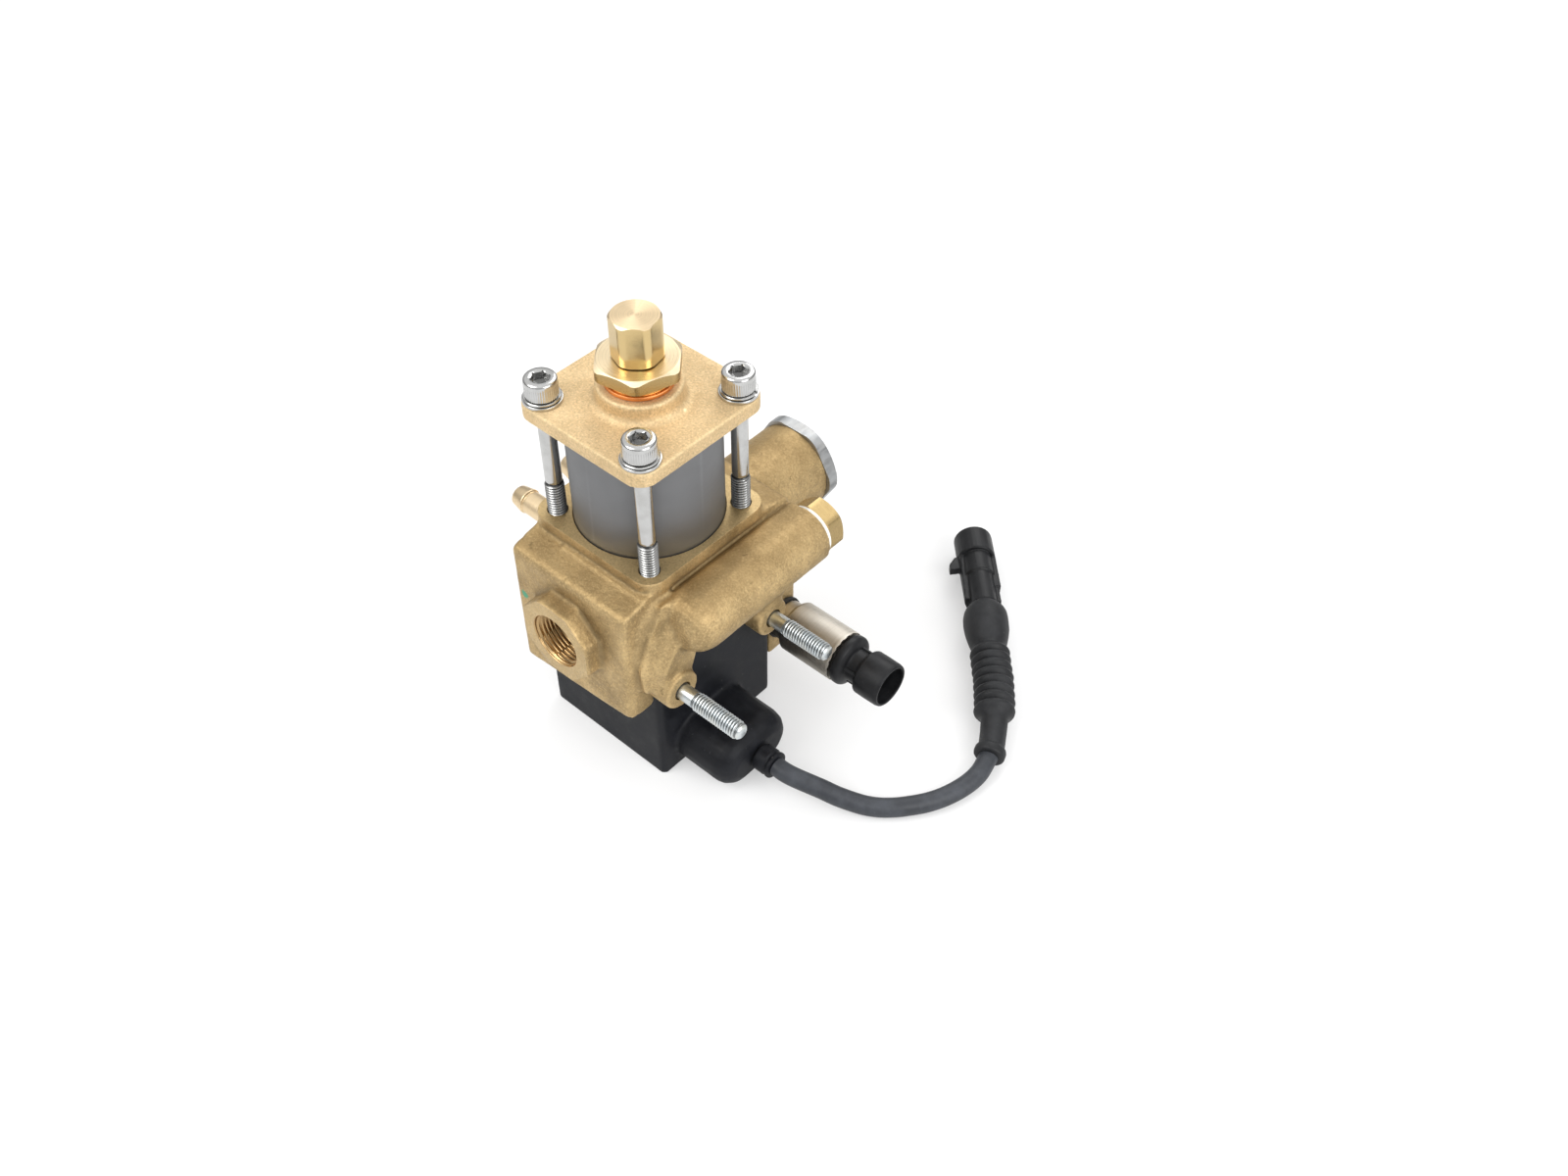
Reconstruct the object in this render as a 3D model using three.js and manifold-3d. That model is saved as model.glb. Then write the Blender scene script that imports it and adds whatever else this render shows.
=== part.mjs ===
// Spring-loaded piston pressure regulator with a solenoid shut-off under it.
// A cast body straddles the solenoid coil. A steel spring cylinder stands on the body and is held
// down by a square plate with four long cap screws. Millimetres, +Z up. The origin is the centre
// of the coil's flat underside, on the axis that the coil, the cylinder and the adjuster share.

import * as THREE from 'three';
import { ConvexGeometry } from 'three/addons/geometries/ConvexGeometry.js';
import { mergeVertices } from 'three/addons/utils/BufferGeometryUtils.js';
import Module from 'manifold-3d';

const wasm = await Module();
wasm.setup();

// ---------------------------------------------------------------- driving dimensions

const GAP = 0.3;                 // clearance between pieces that touch
const FACE_GAP = 0.1;            // clearance between flat faces stacked on the main axis
const THREAD_R = 3.0;            // M6 screws and studs
const SHANK_R = 2.65;            // plain part of an M6 rolled-thread screw
const HOLE_R = THREAD_R + GAP;

// levels on the main axis
const COIL_TOP = 50.5;
const LOBE_BOTTOM = 32.5;        // the lobes' undersides rise from here, left to right
const LOBE_BOTTOM_RIGHT = 37;
const DECK_BOTTOM = 82.6;
const DECK_TOP = 87.4;
const PLATE_BOTTOM = 125;
const PLATE_TOP = 130;
const BOSS_TOP = 136;            // round boss on the plate
const NUT_BOTTOM = 140.2;        // large hexagon of the bonnet nut
const NUT_TOP = 144.3;
const SCREW_TOP = 158.2;         // top of the adjusting screw

const COIL_HALF = 26;
const COIL_CORNER = 2;
const BODY_LEFT = -23.7;         // x of the cast body's two side faces
const BODY_RIGHT = 25;
const LOBE_OUTER = 37.2;         // y of the lobes' outer faces, either side of the coil
const LOBE_INNER = 26.7;
const PLATE_HALF = 26;
const PLATE_CORNER = 6.3;
const SCREW_AT = 19.76;          // the four cap screws stand at (+-SCREW_AT, +-SCREW_AT)

const CYLINDER_R = 23.3;
const CYLINDER_BORE_R = 20;
const CYLINDER_SEAT = 83.4;      // floor of the recess that the cylinder stands in

const PORT_Z = 60.5;             // height of the port and of the filter chamber
const PORT_FACE = -42.7;
const PORT_BORE_R = 8.3;         // G3/8 thread
const FILTER_FACE = 66.5;        // end face of the round filter chamber
const FILTER_R = 15.3;

const BRANCH = { x: 33.6, z: 72.4, radius: 10, front: -15, back: 35 };
const STUDS = [{ y: -24.1, z: 48.7, end: 60 }, { y: 17.2, z: 48.2, end: 58.4 }];
const STUD_BOSS_R = 6.7;
const STUD_FACE = 35;            // x of the two stud bosses' faces

const SENSOR = { y: 33, z: 29.4, face: 25 };
const BARBS = { z: 67.7, y: [-10.5, 10.5] };
const GLAND = { y: -4.4, z: 10, start: 49.2, end: 55.9, radius: 4.7 };
const HOUSING = { half: 15.6, height: 19.6, end: 48.6 };   // cable housing moulded on the coil

const CABLE_R = 3.25;
const FLOOR_Z = CABLE_R + 0.05;  // height of the cable's middle where it lies on the floor

// The lead leaves the gland level, sinks to the floor, curves round and ends in its boot.
const CABLE_ROUTE = [
  [56.2, -4.4, 10], [59.5, -4.4, 9.95], [63, -3.75, 9.7], [67.3, -2.2, 8.9], [71.9, -0.15, 7.6],
  [76.8, 1.95, 6], [82.2, 4.8, 4.5], [85.6, 6.9, 3.75], [88.8, 9.3, FLOOR_Z + 0.1],
  [91.7, 12, FLOOR_Z], [94.3, 14.9, FLOOR_Z], [98.5, 20.6, FLOOR_Z], [101.7, 27.1, FLOOR_Z],
  [103.8, 34.5, FLOOR_Z + 0.1], [104.4, 41, 3.9], [103.3, 47.2, 4.8],
];
// The boot goes on from there, bends a little and runs straight to the connector.
const BOOT_ROUTE = [
  [103.15, 47.85, 4.9], [101.7, 51.5, 5.3], [98.6, 56.8, 5.8], [95.2, 61.9, 6.95],
  [86.7, 73.1, 7], [77.3, 83.5, 7.4], [69.1, 92.6, 8.1], [64, 98.8, 8.15],
];
// The connector lies level with the boot's fat end and droops until its mouth is on the floor.
const PLUG_START = [63.75, 99.1, 8.15];
const PLUG_HEADING = Math.PI * 133.5 / 180;
const PLUG_DROOP = 0.027;
const PLUG_LENGTH = 36.4;

// ---------------------------------------------------------------- finishes

const finish = (color, roughness, metalness) =>
  new THREE.MeshStandardMaterial({ color, roughness, metalness });

const castBrass = () => finish(0xb0945c, 0.6, 0.8);
const turnedBrass = () => finish(0xd8b469, 0.3, 0.9);
const copper = () => finish(0xb5652d, 0.35, 0.9);
const stainless = () => finish(0xc9cacc, 0.25, 1.0);
const darkSteel = () => finish(0x707274, 0.4, 0.9);
const zincSteel = () => finish(0xc3ccd2, 0.35, 0.9);
const springSteel = () => finish(0x8a8d90, 0.35, 0.9);
const blackPlastic = () => finish(0x2a2b2e, 0.55, 0.0);
const blackRubber = () => finish(0x232326, 0.8, 0.0);
const greyCable = () => finish(0x4b4f54, 0.6, 0.0);
const whiteWasher = () => finish(0xe6e6e4, 0.5, 0.1);

// ---------------------------------------------------------------- solids

// A closed geometry as a manifold solid, with its faces turned outwards.
function toSolid(geometry) {
  const bare = geometry.clone();
  bare.deleteAttribute('normal');
  bare.deleteAttribute('uv');
  const merged = mergeVertices(bare, 1e-4);
  const position = merged.getAttribute('position');
  const index = merged.index.array;
  const kept = [];
  let volume = 0;
  const a = new THREE.Vector3();
  const b = new THREE.Vector3();
  const c = new THREE.Vector3();
  for (let i = 0; i < index.length; i += 3) {
    const [p, q, r] = [index[i], index[i + 1], index[i + 2]];
    if (p === q || q === r || r === p) continue;
    kept.push([p, q, r]);
    a.fromBufferAttribute(position, p);
    b.fromBufferAttribute(position, q);
    c.fromBufferAttribute(position, r);
    volume += a.dot(b.cross(c));
  }
  const outward = volume < 0 ? kept.map(([p, q, r]) => [p, r, q]) : kept;
  return new wasm.Manifold(new wasm.Mesh({
    numProp: 3,
    vertProperties: new Float32Array(position.array),
    triVerts: new Uint32Array(outward.flat()),
  }));
}

function toGeometry(solid) {
  const mesh = solid.getMesh();
  const geometry = new THREE.BufferGeometry();
  geometry.setAttribute('position', new THREE.BufferAttribute(mesh.vertProperties, 3));
  geometry.setIndex(new THREE.BufferAttribute(mesh.triVerts, 1));
  geometry.computeVertexNormals();
  return geometry;
}

const join = (...solids) => solids.reduce((sum, next) => sum.add(next));
const cut = (solid, ...tools) => tools.reduce((left, tool) => left.subtract(tool), solid);

// A profile of [radius, height] points turned round the Z axis; height runs along Z.
function revolve(points, segments = 28) {
  const profile = points.map(([r, z]) => new THREE.Vector2(r, z));
  const geometry = new THREE.LatheGeometry(profile, segments);
  geometry.rotateX(Math.PI / 2);
  return geometry;
}

const rod = (r, from, to, segments = 24) =>
  revolve([[0, from], [r, from], [r, to], [0, to]], segments);

const ring = (inner, outer, from, to, segments = 28) =>
  revolve([[inner, from], [outer, from], [outer, to], [inner, to], [inner, from]], segments);

// A round-section ring, such as an O-ring, round the Z axis.
function torus(major, minor, z, segments = 28, sides = 8) {
  const geometry = new THREE.TorusGeometry(major, minor, sides, segments);
  geometry.translate(0, 0, z);
  return geometry;
}

function prism(shape, from, to, curveSegments = 6) {
  const geometry = new THREE.ExtrudeGeometry(shape, {
    depth: to - from, bevelEnabled: false, curveSegments,
  });
  geometry.translate(0, 0, from);
  return geometry;
}

function box(x0, x1, y0, y1, z0, z1) {
  const geometry = new THREE.BoxGeometry(x1 - x0, y1 - y0, z1 - z0);
  geometry.translate((x0 + x1) / 2, (y0 + y1) / 2, (z0 + z1) / 2);
  return geometry;
}

function roundedRect(x0, x1, y0, y1, r) {
  const shape = new THREE.Shape();
  shape.moveTo(x0 + r, y0);
  shape.lineTo(x1 - r, y0);
  shape.absarc(x1 - r, y0 + r, r, -Math.PI / 2, 0);
  shape.lineTo(x1, y1 - r);
  shape.absarc(x1 - r, y1 - r, r, 0, Math.PI / 2);
  shape.lineTo(x0 + r, y1);
  shape.absarc(x0 + r, y1 - r, r, Math.PI / 2, Math.PI);
  shape.lineTo(x0, y0 + r);
  shape.absarc(x0 + r, y0 + r, r, Math.PI, Math.PI * 1.5);
  return shape;
}

// A regular polygon by its width across flats; the first corner is at the given angle.
function polygon(sides, acrossFlats, firstCorner = 0) {
  const radius = acrossFlats / 2 / Math.cos(Math.PI / sides);
  const shape = new THREE.Shape();
  for (let i = 0; i < sides; i++) {
    const angle = firstCorner + i * 2 * Math.PI / sides;
    const [x, y] = [radius * Math.cos(angle), radius * Math.sin(angle)];
    if (i === 0) shape.moveTo(x, y);
    else shape.lineTo(x, y);
  }
  return shape;
}

// Turn a geometry made along Z so that its Z runs along another axis.
const towardX = (geometry) => geometry.rotateY(Math.PI / 2);
const towardY = (geometry) => geometry.rotateX(-Math.PI / 2);

const shift = (geometry, x, y, z) => geometry.translate(x, y, z);
const rodX = (r, x0, x1, y, z, segments) => shift(towardX(rod(r, x0, x1, segments)), 0, y, z);
const rodY = (r, y0, y1, x, z, segments) => shift(towardY(rod(r, y0, y1, segments)), x, 0, z);

// Lay a shape drawn in (Y, Z) along X, or one drawn in (X, Z) along Y.
function prismX(shape, x0, x1, curveSegments) {
  const toX = new THREE.Matrix4().makeBasis(
    new THREE.Vector3(0, 1, 0), new THREE.Vector3(0, 0, 1), new THREE.Vector3(1, 0, 0));
  return prism(shape, x0, x1, curveSegments).applyMatrix4(toX);
}
function prismY(shape, y0, y1, curveSegments) {
  const toY = new THREE.Matrix4().makeBasis(
    new THREE.Vector3(1, 0, 0), new THREE.Vector3(0, 0, 1), new THREE.Vector3(0, -1, 0));
  return prism(shape, -y1, -y0, curveSegments).applyMatrix4(toY);
}

const hull = (points) => toSolid(new ConvexGeometry(points.map((p) => new THREE.Vector3(...p))));

// A round wire bent into a helix round the Z axis.
class Helix extends THREE.Curve {
  constructor(radius, from, to, turns) {
    super();
    Object.assign(this, { radius, from, to, turns });
  }

  getPoint(t, target = new THREE.Vector3()) {
    const angle = t * this.turns * 2 * Math.PI;
    const z = this.from + t * (this.to - this.from);
    return target.set(this.radius * Math.cos(angle), this.radius * Math.sin(angle), z);
  }
}

const circle = (r, sides) => polygon(sides, 2 * r * Math.cos(Math.PI / sides));

function coilSpring(meanRadius, wireRadius, from, to, turns, stepsPerTurn, sides) {
  return new THREE.ExtrudeGeometry(circle(wireRadius, sides), {
    extrudePath: new Helix(meanRadius, from + wireRadius, to - wireRadius, turns),
    steps: Math.round(turns * stepsPerTurn),
  });
}

// A closed tube whose radius changes along a path: stations are [fraction of length, radius].
function taperedTube(curve, stations, sides) {
  const positions = [];
  const index = [];
  const up = new THREE.Vector3(0, 0, 1);
  for (const [fraction, radius] of stations) {
    const centre = curve.getPointAt(fraction);
    const tangent = curve.getTangentAt(fraction);
    const side = new THREE.Vector3().crossVectors(tangent, up).normalize();
    const normal = new THREE.Vector3().crossVectors(side, tangent);
    for (let i = 0; i < sides; i++) {
      const angle = i * 2 * Math.PI / sides;
      const point = centre.clone();
      point.addScaledVector(side, radius * Math.cos(angle));
      point.addScaledVector(normal, radius * Math.sin(angle));
      positions.push(...point.toArray());
    }
  }
  for (let s = 0; s + 1 < stations.length; s++) {
    for (let i = 0; i < sides; i++) {
      const a = s * sides + i;
      const b = s * sides + (i + 1) % sides;
      index.push(a, b, a + sides, b, b + sides, a + sides);
    }
  }
  const last = (stations.length - 1) * sides;
  for (let i = 1; i + 1 < sides; i++) {
    index.push(0, i + 1, i, last, last + i, last + i + 1);
  }
  const geometry = new THREE.BufferGeometry();
  geometry.setAttribute('position', new THREE.Float32BufferAttribute(positions, 3));
  geometry.setIndex(index);
  return geometry;
}

// ---------------------------------------------------------------- assembly

const group = new THREE.Group();

function piece(name, solid, material, parent = group) {
  const mesh = new THREE.Mesh(toGeometry(solid), material);
  mesh.name = name;
  parent.add(mesh);
  return mesh;
}

function subgroup(x, y, z) {
  const child = new THREE.Group();
  child.position.set(x, y, z);
  group.add(child);
  return child;
}

const cornersOf = (at) => [[-at, -at], [at, -at], [at, at], [-at, at]];

// ---------------------------------------------------------------- cast body

// Side view of the body: a bridge over the coil with a lobe hanging down on either side.
function saddleProfile() {
  const shape = new THREE.Shape();
  const round = 2.4;
  const shoulder = 81.6;
  const underside = COIL_TOP + 0.7;
  shape.moveTo(-LOBE_OUTER + round, LOBE_BOTTOM);
  shape.lineTo(-LOBE_INNER - 1, LOBE_BOTTOM);
  shape.lineTo(-LOBE_INNER, LOBE_BOTTOM + 1);
  shape.lineTo(-LOBE_INNER, underside);
  shape.lineTo(LOBE_INNER, underside);
  shape.lineTo(LOBE_INNER, LOBE_BOTTOM + 1);
  shape.lineTo(LOBE_INNER + 1, LOBE_BOTTOM);
  shape.lineTo(LOBE_OUTER - round, LOBE_BOTTOM);
  shape.absarc(LOBE_OUTER - round, LOBE_BOTTOM + round, round, -Math.PI / 2, 0);
  shape.lineTo(LOBE_OUTER - 0.6, shoulder - round);
  shape.absarc(LOBE_OUTER - 0.6 - round, shoulder - round, round, 0, Math.PI * 0.45);
  shape.lineTo(PLATE_HALF - 2, DECK_BOTTOM + 1);
  shape.lineTo(-PLATE_HALF + 2, DECK_BOTTOM + 1);
  shape.absarc(-LOBE_OUTER + 0.6 + round, shoulder - round, round, Math.PI * 0.55, Math.PI);
  shape.lineTo(-LOBE_OUTER, LOBE_BOTTOM + round);
  shape.absarc(-LOBE_OUTER + round, LOBE_BOTTOM + round, round, Math.PI, Math.PI * 1.5);
  return shape;
}

// The lobes' undersides rise from left to right.
function slopeUndersides(solid) {
  const geometry = toGeometry(solid);
  const position = geometry.getAttribute('position');
  const slope = (LOBE_BOTTOM_RIGHT - LOBE_BOTTOM) / (BODY_RIGHT - BODY_LEFT);
  for (let i = 0; i < position.count; i++) {
    if (position.getZ(i) > LOBE_BOTTOM + 4) continue;
    position.setZ(i, position.getZ(i) + slope * (position.getX(i) - BODY_LEFT));
  }
  return toSolid(geometry);
}

// Cross-section of the branch: flat-topped on the body side and round on the outside.
function branchProfile(shrink = 1) {
  const { x, z, radius } = BRANCH;
  const inner = 24.5;
  const crest = 27.5;
  const r = radius * shrink;
  const shape = new THREE.Shape();
  shape.moveTo(inner, z - r + 2);
  shape.lineTo(x - 4, z - r);
  shape.absarc(x, z, r, -Math.PI / 2, Math.PI / 2);
  shape.lineTo(crest, z + r - 0.4);
  shape.lineTo(inner, z + r - 3.5);
  return shape;
}

// The branch's front end closes in a blunt nose.
function branchNose() {
  const points = [];
  const sections = [[0, 1], [3.5, 0.94], [6.2, 0.78], [7.8, 0.52]];
  const { x, z, front } = BRANCH;
  for (const [forward, shrink] of sections) {
    for (const p of branchProfile().getPoints(5)) {
      points.push([x + (p.x - x) * shrink, front - forward, z + (p.y - z) * shrink]);
    }
  }
  return hull(points);
}

// The arms carry the stud bosses in front of the coil's side, and hang from the branch.
function frontArm() {
  const { y, z } = STUDS[0];
  const inner = COIL_HALF + 0.7;
  return join(
    hull([
      // against the coil's side
      [inner, -21, 80], [inner, -27.2, 71.4], [inner, -32.9, 59], [inner, -32.6, 50],
      [inner, -12.5, 78], [inner, -12.5, 62], [inner, y, z - 5.9],
      // front ridge, then the ridge that runs down from the nose
      [27.1, -21.4, 80.4], [27.1, -24, 77.2], [27.1, -27.9, 71.4], [27.5, -33.4, 59],
      [28, -32.6, 50], [33.8, -21.8, 70.4], [33.8, -29.4, 59.6],
      // rear side and the foot that carries the boss
      [34, -12.8, 68], [32.4, -12.8, 62], [31.6, -16.6, 52],
      [33, y - 5.2, z], [33, y, z - 5.6], [33, y + 5.2, z],
    ]),
    toSolid(rodX(STUD_BOSS_R, inner, STUD_FACE, y, z, 28)),
    // root of the arm, joined to the side of the front lobe
    hull([
      [23, -31, 77], [23, -34.8, 74], [23, -34.8, 47], [23, -27.2, 47], [23, -27.2, 77],
      [27, -27.5, 71], [27.3, -32.6, 59], [27.3, -32.2, 49], [27.3, -27.2, 49],
    ]),
  );
}

function rearArm() {
  const { y, z } = STUDS[1];
  const inner = COIL_HALF + 0.7;
  return join(
    hull([
      [inner, y - 9.5, 66], [inner, y + 9.5, 66], [38, y - 8.5, 66], [38, y + 8.5, 66],
      [inner, y - 6.2, z], [inner, y + 6.2, z], [32, y - 6, z], [32, y + 6, z],
      [inner, y, z - 5.5], [31.5, y, z - 5.5],
    ]),
    toSolid(rodX(STUD_BOSS_R, inner, STUD_FACE, y, z, 28)),
  );
}

function bodyCasting() {
  const plan = roundedRect(BODY_LEFT, BODY_RIGHT, -LOBE_OUTER, LOBE_OUTER, 2.4);
  const saddle = slopeUndersides(
    toSolid(prismX(saddleProfile(), BODY_LEFT - 1, BODY_RIGHT + 1, 5))
      .intersect(toSolid(prism(plan, 0, DECK_TOP, 5))));
  const deck = roundedRect(-PLATE_HALF, PLATE_HALF, -PLATE_HALF, PLATE_HALF, PLATE_CORNER);
  const bossOutline = polygon(8, 28, Math.PI / 8);
  const portBoss = shift(prismY(bossOutline, PORT_FACE, -30), 0, 0, PORT_Z);
  const sensorBlock = roundedRect(-9, SENSOR.face, LOBE_INNER, SENSOR.y + 6.8, 1.2);
  return join(
    saddle,
    toSolid(prism(deck, DECK_BOTTOM, DECK_TOP, 6)),
    toSolid(portBoss),
    toSolid(rodY(FILTER_R, 26, FILTER_FACE, 0, PORT_Z, 40)),
    toSolid(prismY(branchProfile(), BRANCH.front, BRANCH.back, 12)),
    branchNose(),
    // web that ties the rear end of the branch to the rear lobe
    toSolid(box(18, 28, 20, 33, 60, 79)),
    frontArm(),
    rearArm(),
    toSolid(prism(sensorBlock, 15.2, 44, 3)),
    ...BARBS.y.map((y) => toSolid(rodX(6.4, BODY_LEFT - 1.2, -18, y, BARBS.z, 20))),
  );
}

// Everything drilled or bored in the casting.
function bodyMachining() {
  const tools = [
    // room for the coil, which the lobes straddle
    prism(roundedRect(-COIL_HALF - 0.4, COIL_HALF + 0.4, -COIL_HALF - 0.4, COIL_HALF + 0.4,
      COIL_CORNER), -1, COIL_TOP + 0.7, 4),
    // recess, seal groove and low-pressure chamber under the spring cylinder
    rod(CYLINDER_R + GAP, CYLINDER_SEAT, DECK_TOP + 1, 48),
    ring(20.7, 22.9, 81.5, CYLINDER_SEAT + 0.1, 32),
    rod(19, 76, CYLINDER_SEAT + 0.1, 32),
    // seat bore, poppet passage and thread for the armature tube
    rod(7.3, 66, 76.1, 24),
    rod(4.2, 57.9, 66.1, 16),
    rod(8.3, COIL_TOP, 58, 24),
    // port thread with its countersink, and the drillings that lead up to the chamber
    rodY(PORT_BORE_R, PORT_FACE - 1, -29.4, 0, PORT_Z, 28),
    shift(towardY(revolve([[0, PORT_FACE - 0.1], [9.4, PORT_FACE - 0.1],
      [PORT_BORE_R, PORT_FACE + 1], [0, PORT_FACE + 1]], 28)), 0, 0, PORT_Z),
    rodY(3.4, -29.5, -13.5, 0, PORT_Z, 12),
    shift(rod(3, PORT_Z, 76.2, 12), 0, -15.8, 0),
    // filter chamber and its drilling to the poppet
    rodY(11.5, 38, FILTER_FACE + 1, 0, PORT_Z, 28),
    rodY(3.4, 0, 38.1, 0, PORT_Z, 12),
    // gallery in the branch, and its cross drilling to the chamber
    rodY(5, -12, BRANCH.back + 1, BRANCH.x, BRANCH.z, 20),
    rodX(2, 17, BRANCH.x, 0, 76.6, 10),
    // spot face for the plug and its washer
    rodY(9.3, BRANCH.back, 45, BRANCH.x, BRANCH.z, 32),
    // sensor thread and the drilling up to the filter drilling
    rodX(6.8, 12, SENSOR.face + 1, SENSOR.y, SENSOR.z, 20),
    rodX(2, -1, 12.1, SENSOR.y, SENSOR.z, 10),
    shift(rod(2, SENSOR.z, PORT_Z, 10), 0, SENSOR.y, 0),
    // warm-water loop between the two hose barbs
    ...BARBS.y.map((y) => rodX(4.3, BODY_LEFT - 2, -15.4, y, BARBS.z, 16)),
    rodY(2.6, BARBS.y[0], BARBS.y[1], -16.5, BARBS.z, 12),
    // blind threads for the screws and the studs
    ...cornersOf(SCREW_AT).map(([x, y]) => shift(rod(HOLE_R, 74, DECK_TOP + 1, 16), x, y, 0)),
    ...STUDS.map(({ y, z }) => rodX(HOLE_R, 27.3, STUD_FACE + 1, y, z, 16)),
  ];
  return tools.map(toSolid);
}

function addBody() {
  piece('valve_body', cut(bodyCasting(), ...bodyMachining()), castBrass());
}

// ---------------------------------------------------------------- spring cylinder and its plate

function addSpringCylinder() {
  const outline = roundedRect(-PLATE_HALF, PLATE_HALF, -PLATE_HALF, PLATE_HALF, PLATE_CORNER);
  const plate = cut(
    join(
      toSolid(prism(outline, PLATE_BOTTOM, PLATE_TOP, 6)),
      toSolid(revolve([[0, PLATE_TOP - 1], [15.2, PLATE_TOP - 1], [15.2, PLATE_TOP],
        [13.6, PLATE_TOP + 0.7], [13, PLATE_TOP + 2], [13, BOSS_TOP - 0.6],
        [12.4, BOSS_TOP], [0, BOSS_TOP]], 36)),
    ),
    toSolid(rod(8.3, PLATE_BOTTOM - 1, BOSS_TOP + 1, 24)),
    toSolid(ring(18.6, CYLINDER_R + GAP, PLATE_BOTTOM - 1, PLATE_BOTTOM + 1.2, 48)),
    toSolid(ring(20.7, 22.9, PLATE_BOTTOM + 1.1, PLATE_BOTTOM + 3.1, 32)),
    ...cornersOf(SCREW_AT).map(([x, y]) =>
      toSolid(shift(rod(HOLE_R, PLATE_BOTTOM - 1, PLATE_TOP + 1, 16), x, y, 0))),
  );
  piece('top_plate', plate, castBrass());
  piece('spring_cylinder', toSolid(ring(CYLINDER_BORE_R, CYLINDER_R,
    CYLINDER_SEAT + GAP, PLATE_BOTTOM + 1.2 - GAP, 48)), darkSteel());
  piece('cylinder_seal_lower', toSolid(torus(21.8, 0.8, 82.55, 28, 6)), blackRubber());
  piece('cylinder_seal_upper', toSolid(torus(21.8, 0.8, PLATE_BOTTOM + 2.05, 28, 6)),
    blackRubber());
}

function capScrew() {
  const headBottom = PLATE_TOP + 2;
  const headTop = headBottom + 6;
  const threadTop = 99;
  const tip = 75;
  const turned = toSolid(revolve([
    [0, tip], [THREAD_R - 0.6, tip], [THREAD_R, tip + 0.6], [THREAD_R, threadTop],
    [SHANK_R, threadTop + 0.5], [SHANK_R, headBottom], [5, headBottom],
    [5, headTop - 0.5], [4.5, headTop], [0, headTop],
  ], 20));
  return cut(turned, toSolid(prism(polygon(6, 5, Math.PI / 6), headTop - 3, headTop + 1)));
}

function addScrews() {
  const flat = toSolid(ring(HOLE_R, 6, PLATE_TOP + FACE_GAP, PLATE_TOP + 1, 24));
  const split = cut(
    toSolid(ring(HOLE_R - 0.1, 5.6, PLATE_TOP + 1 + FACE_GAP, PLATE_TOP + 2 - FACE_GAP, 24)),
    toSolid(box(2, 7, -0.5, 0.5, PLATE_TOP, PLATE_TOP + 3)),
  );
  const screw = capScrew();
  cornersOf(SCREW_AT).forEach(([x, y], i) => {
    const stack = subgroup(x, y, 0);
    piece(`cap_screw_${i + 1}`, screw, stainless(), stack);
    piece(`lock_washer_${i + 1}`, split, stainless(), stack);
    piece(`flat_washer_${i + 1}`, flat, stainless(), stack);
  });
}

// ---------------------------------------------------------------- adjuster

function addAdjuster() {
  // one flat of the adjusting screw faces the front right corner, and one corner of the nut
  const facing = -0.85;
  const washerTop = BOSS_TOP + 1.5;
  piece('copper_seal_washer', toSolid(ring(8.4, 11.2, BOSS_TOP + FACE_GAP, washerTop, 32)),
    copper());

  const nutHead = toSolid(prism(polygon(6, 24, facing), NUT_BOTTOM, NUT_TOP))
    .intersect(toSolid(revolve([[0, NUT_BOTTOM - 1], [12.4, NUT_BOTTOM - 0.2],
      [13, NUT_BOTTOM + 0.4], [13, NUT_TOP - 0.6], [12, NUT_TOP], [0, NUT_TOP]], 48)));
  const nut = cut(
    join(
      nutHead,
      toSolid(revolve([[0, 128.6], [7.4, 128.6], [8, 129.2], [8, washerTop + FACE_GAP],
        [10.8, washerTop + FACE_GAP], [10.8, NUT_BOTTOM + 0.1], [0, NUT_BOTTOM + 0.1]], 32)),
    ),
    toSolid(rod(5, 127, NUT_TOP + 1, 20)),
  );
  piece('bonnet_nut', nut, turnedBrass());

  const headBottom = NUT_TOP + GAP;
  const head = toSolid(prism(polygon(6, 14, facing + Math.PI / 6), headBottom, SCREW_TOP))
    .intersect(toSolid(revolve([[0, headBottom], [7.3, headBottom], [7.55, headBottom + 0.3],
      [7.55, SCREW_TOP - 0.5], [7, SCREW_TOP], [0, SCREW_TOP]], 48)));
  piece('adjusting_screw', head, turnedBrass());
  piece('adjusting_stem', toSolid(revolve([[0, 121.6], [4, 121.6], [4.7, 122.3],
    [4.7, headBottom - GAP], [0, headBottom - GAP]], 20)), turnedBrass());

  piece('upper_spring_seat', toSolid(revolve([
    [0, 114.2], [9.4, 114.2], [10, 114.8], [10, 117.8], [16.5, 117.8], [16.5, 121],
    [7, 121], [7, 124], [5, 124], [5, 121.3], [0, 121.3],
  ], 28)), springSteel());
}

// ---------------------------------------------------------------- regulator spring and piston

function addRegulator() {
  piece('regulator_spring', toSolid(coilSpring(14, 1.75, 98.3, 117.5, 3.75, 12, 6)),
    springSteel());
  piece('regulator_piston', toSolid(revolve([
    [0, 95], [2.7, 95], [2.7, 90], [16.5, 90], [16.5, 92], [19.7, 92], [19.7, 94], [17.6, 94],
    [17.6, 96.4], [19.7, 96.4], [19.7, 98], [10, 98], [10, 101], [0, 101],
  ], 32)), turnedBrass());
  piece('piston_seal', toSolid(torus(18.8, 0.98, 95.2, 28, 6)), blackRubber());
  piece('valve_poppet', toSolid(revolve([
    [0, 62.4], [3.4, 62.4], [3.8, 62.8], [3.8, 64.6], [2.4, 65.9], [2.4, 94.7], [0, 94.7],
  ], 16)), stainless());
  piece('valve_seat', toSolid(revolve([
    [3, 66.3], [7, 66.3], [7, 70.6], [6.6, 71], [3.6, 71], [3, 70.4], [3, 66.3],
  ], 20)), stainless());
}

// ---------------------------------------------------------------- solenoid

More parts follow.
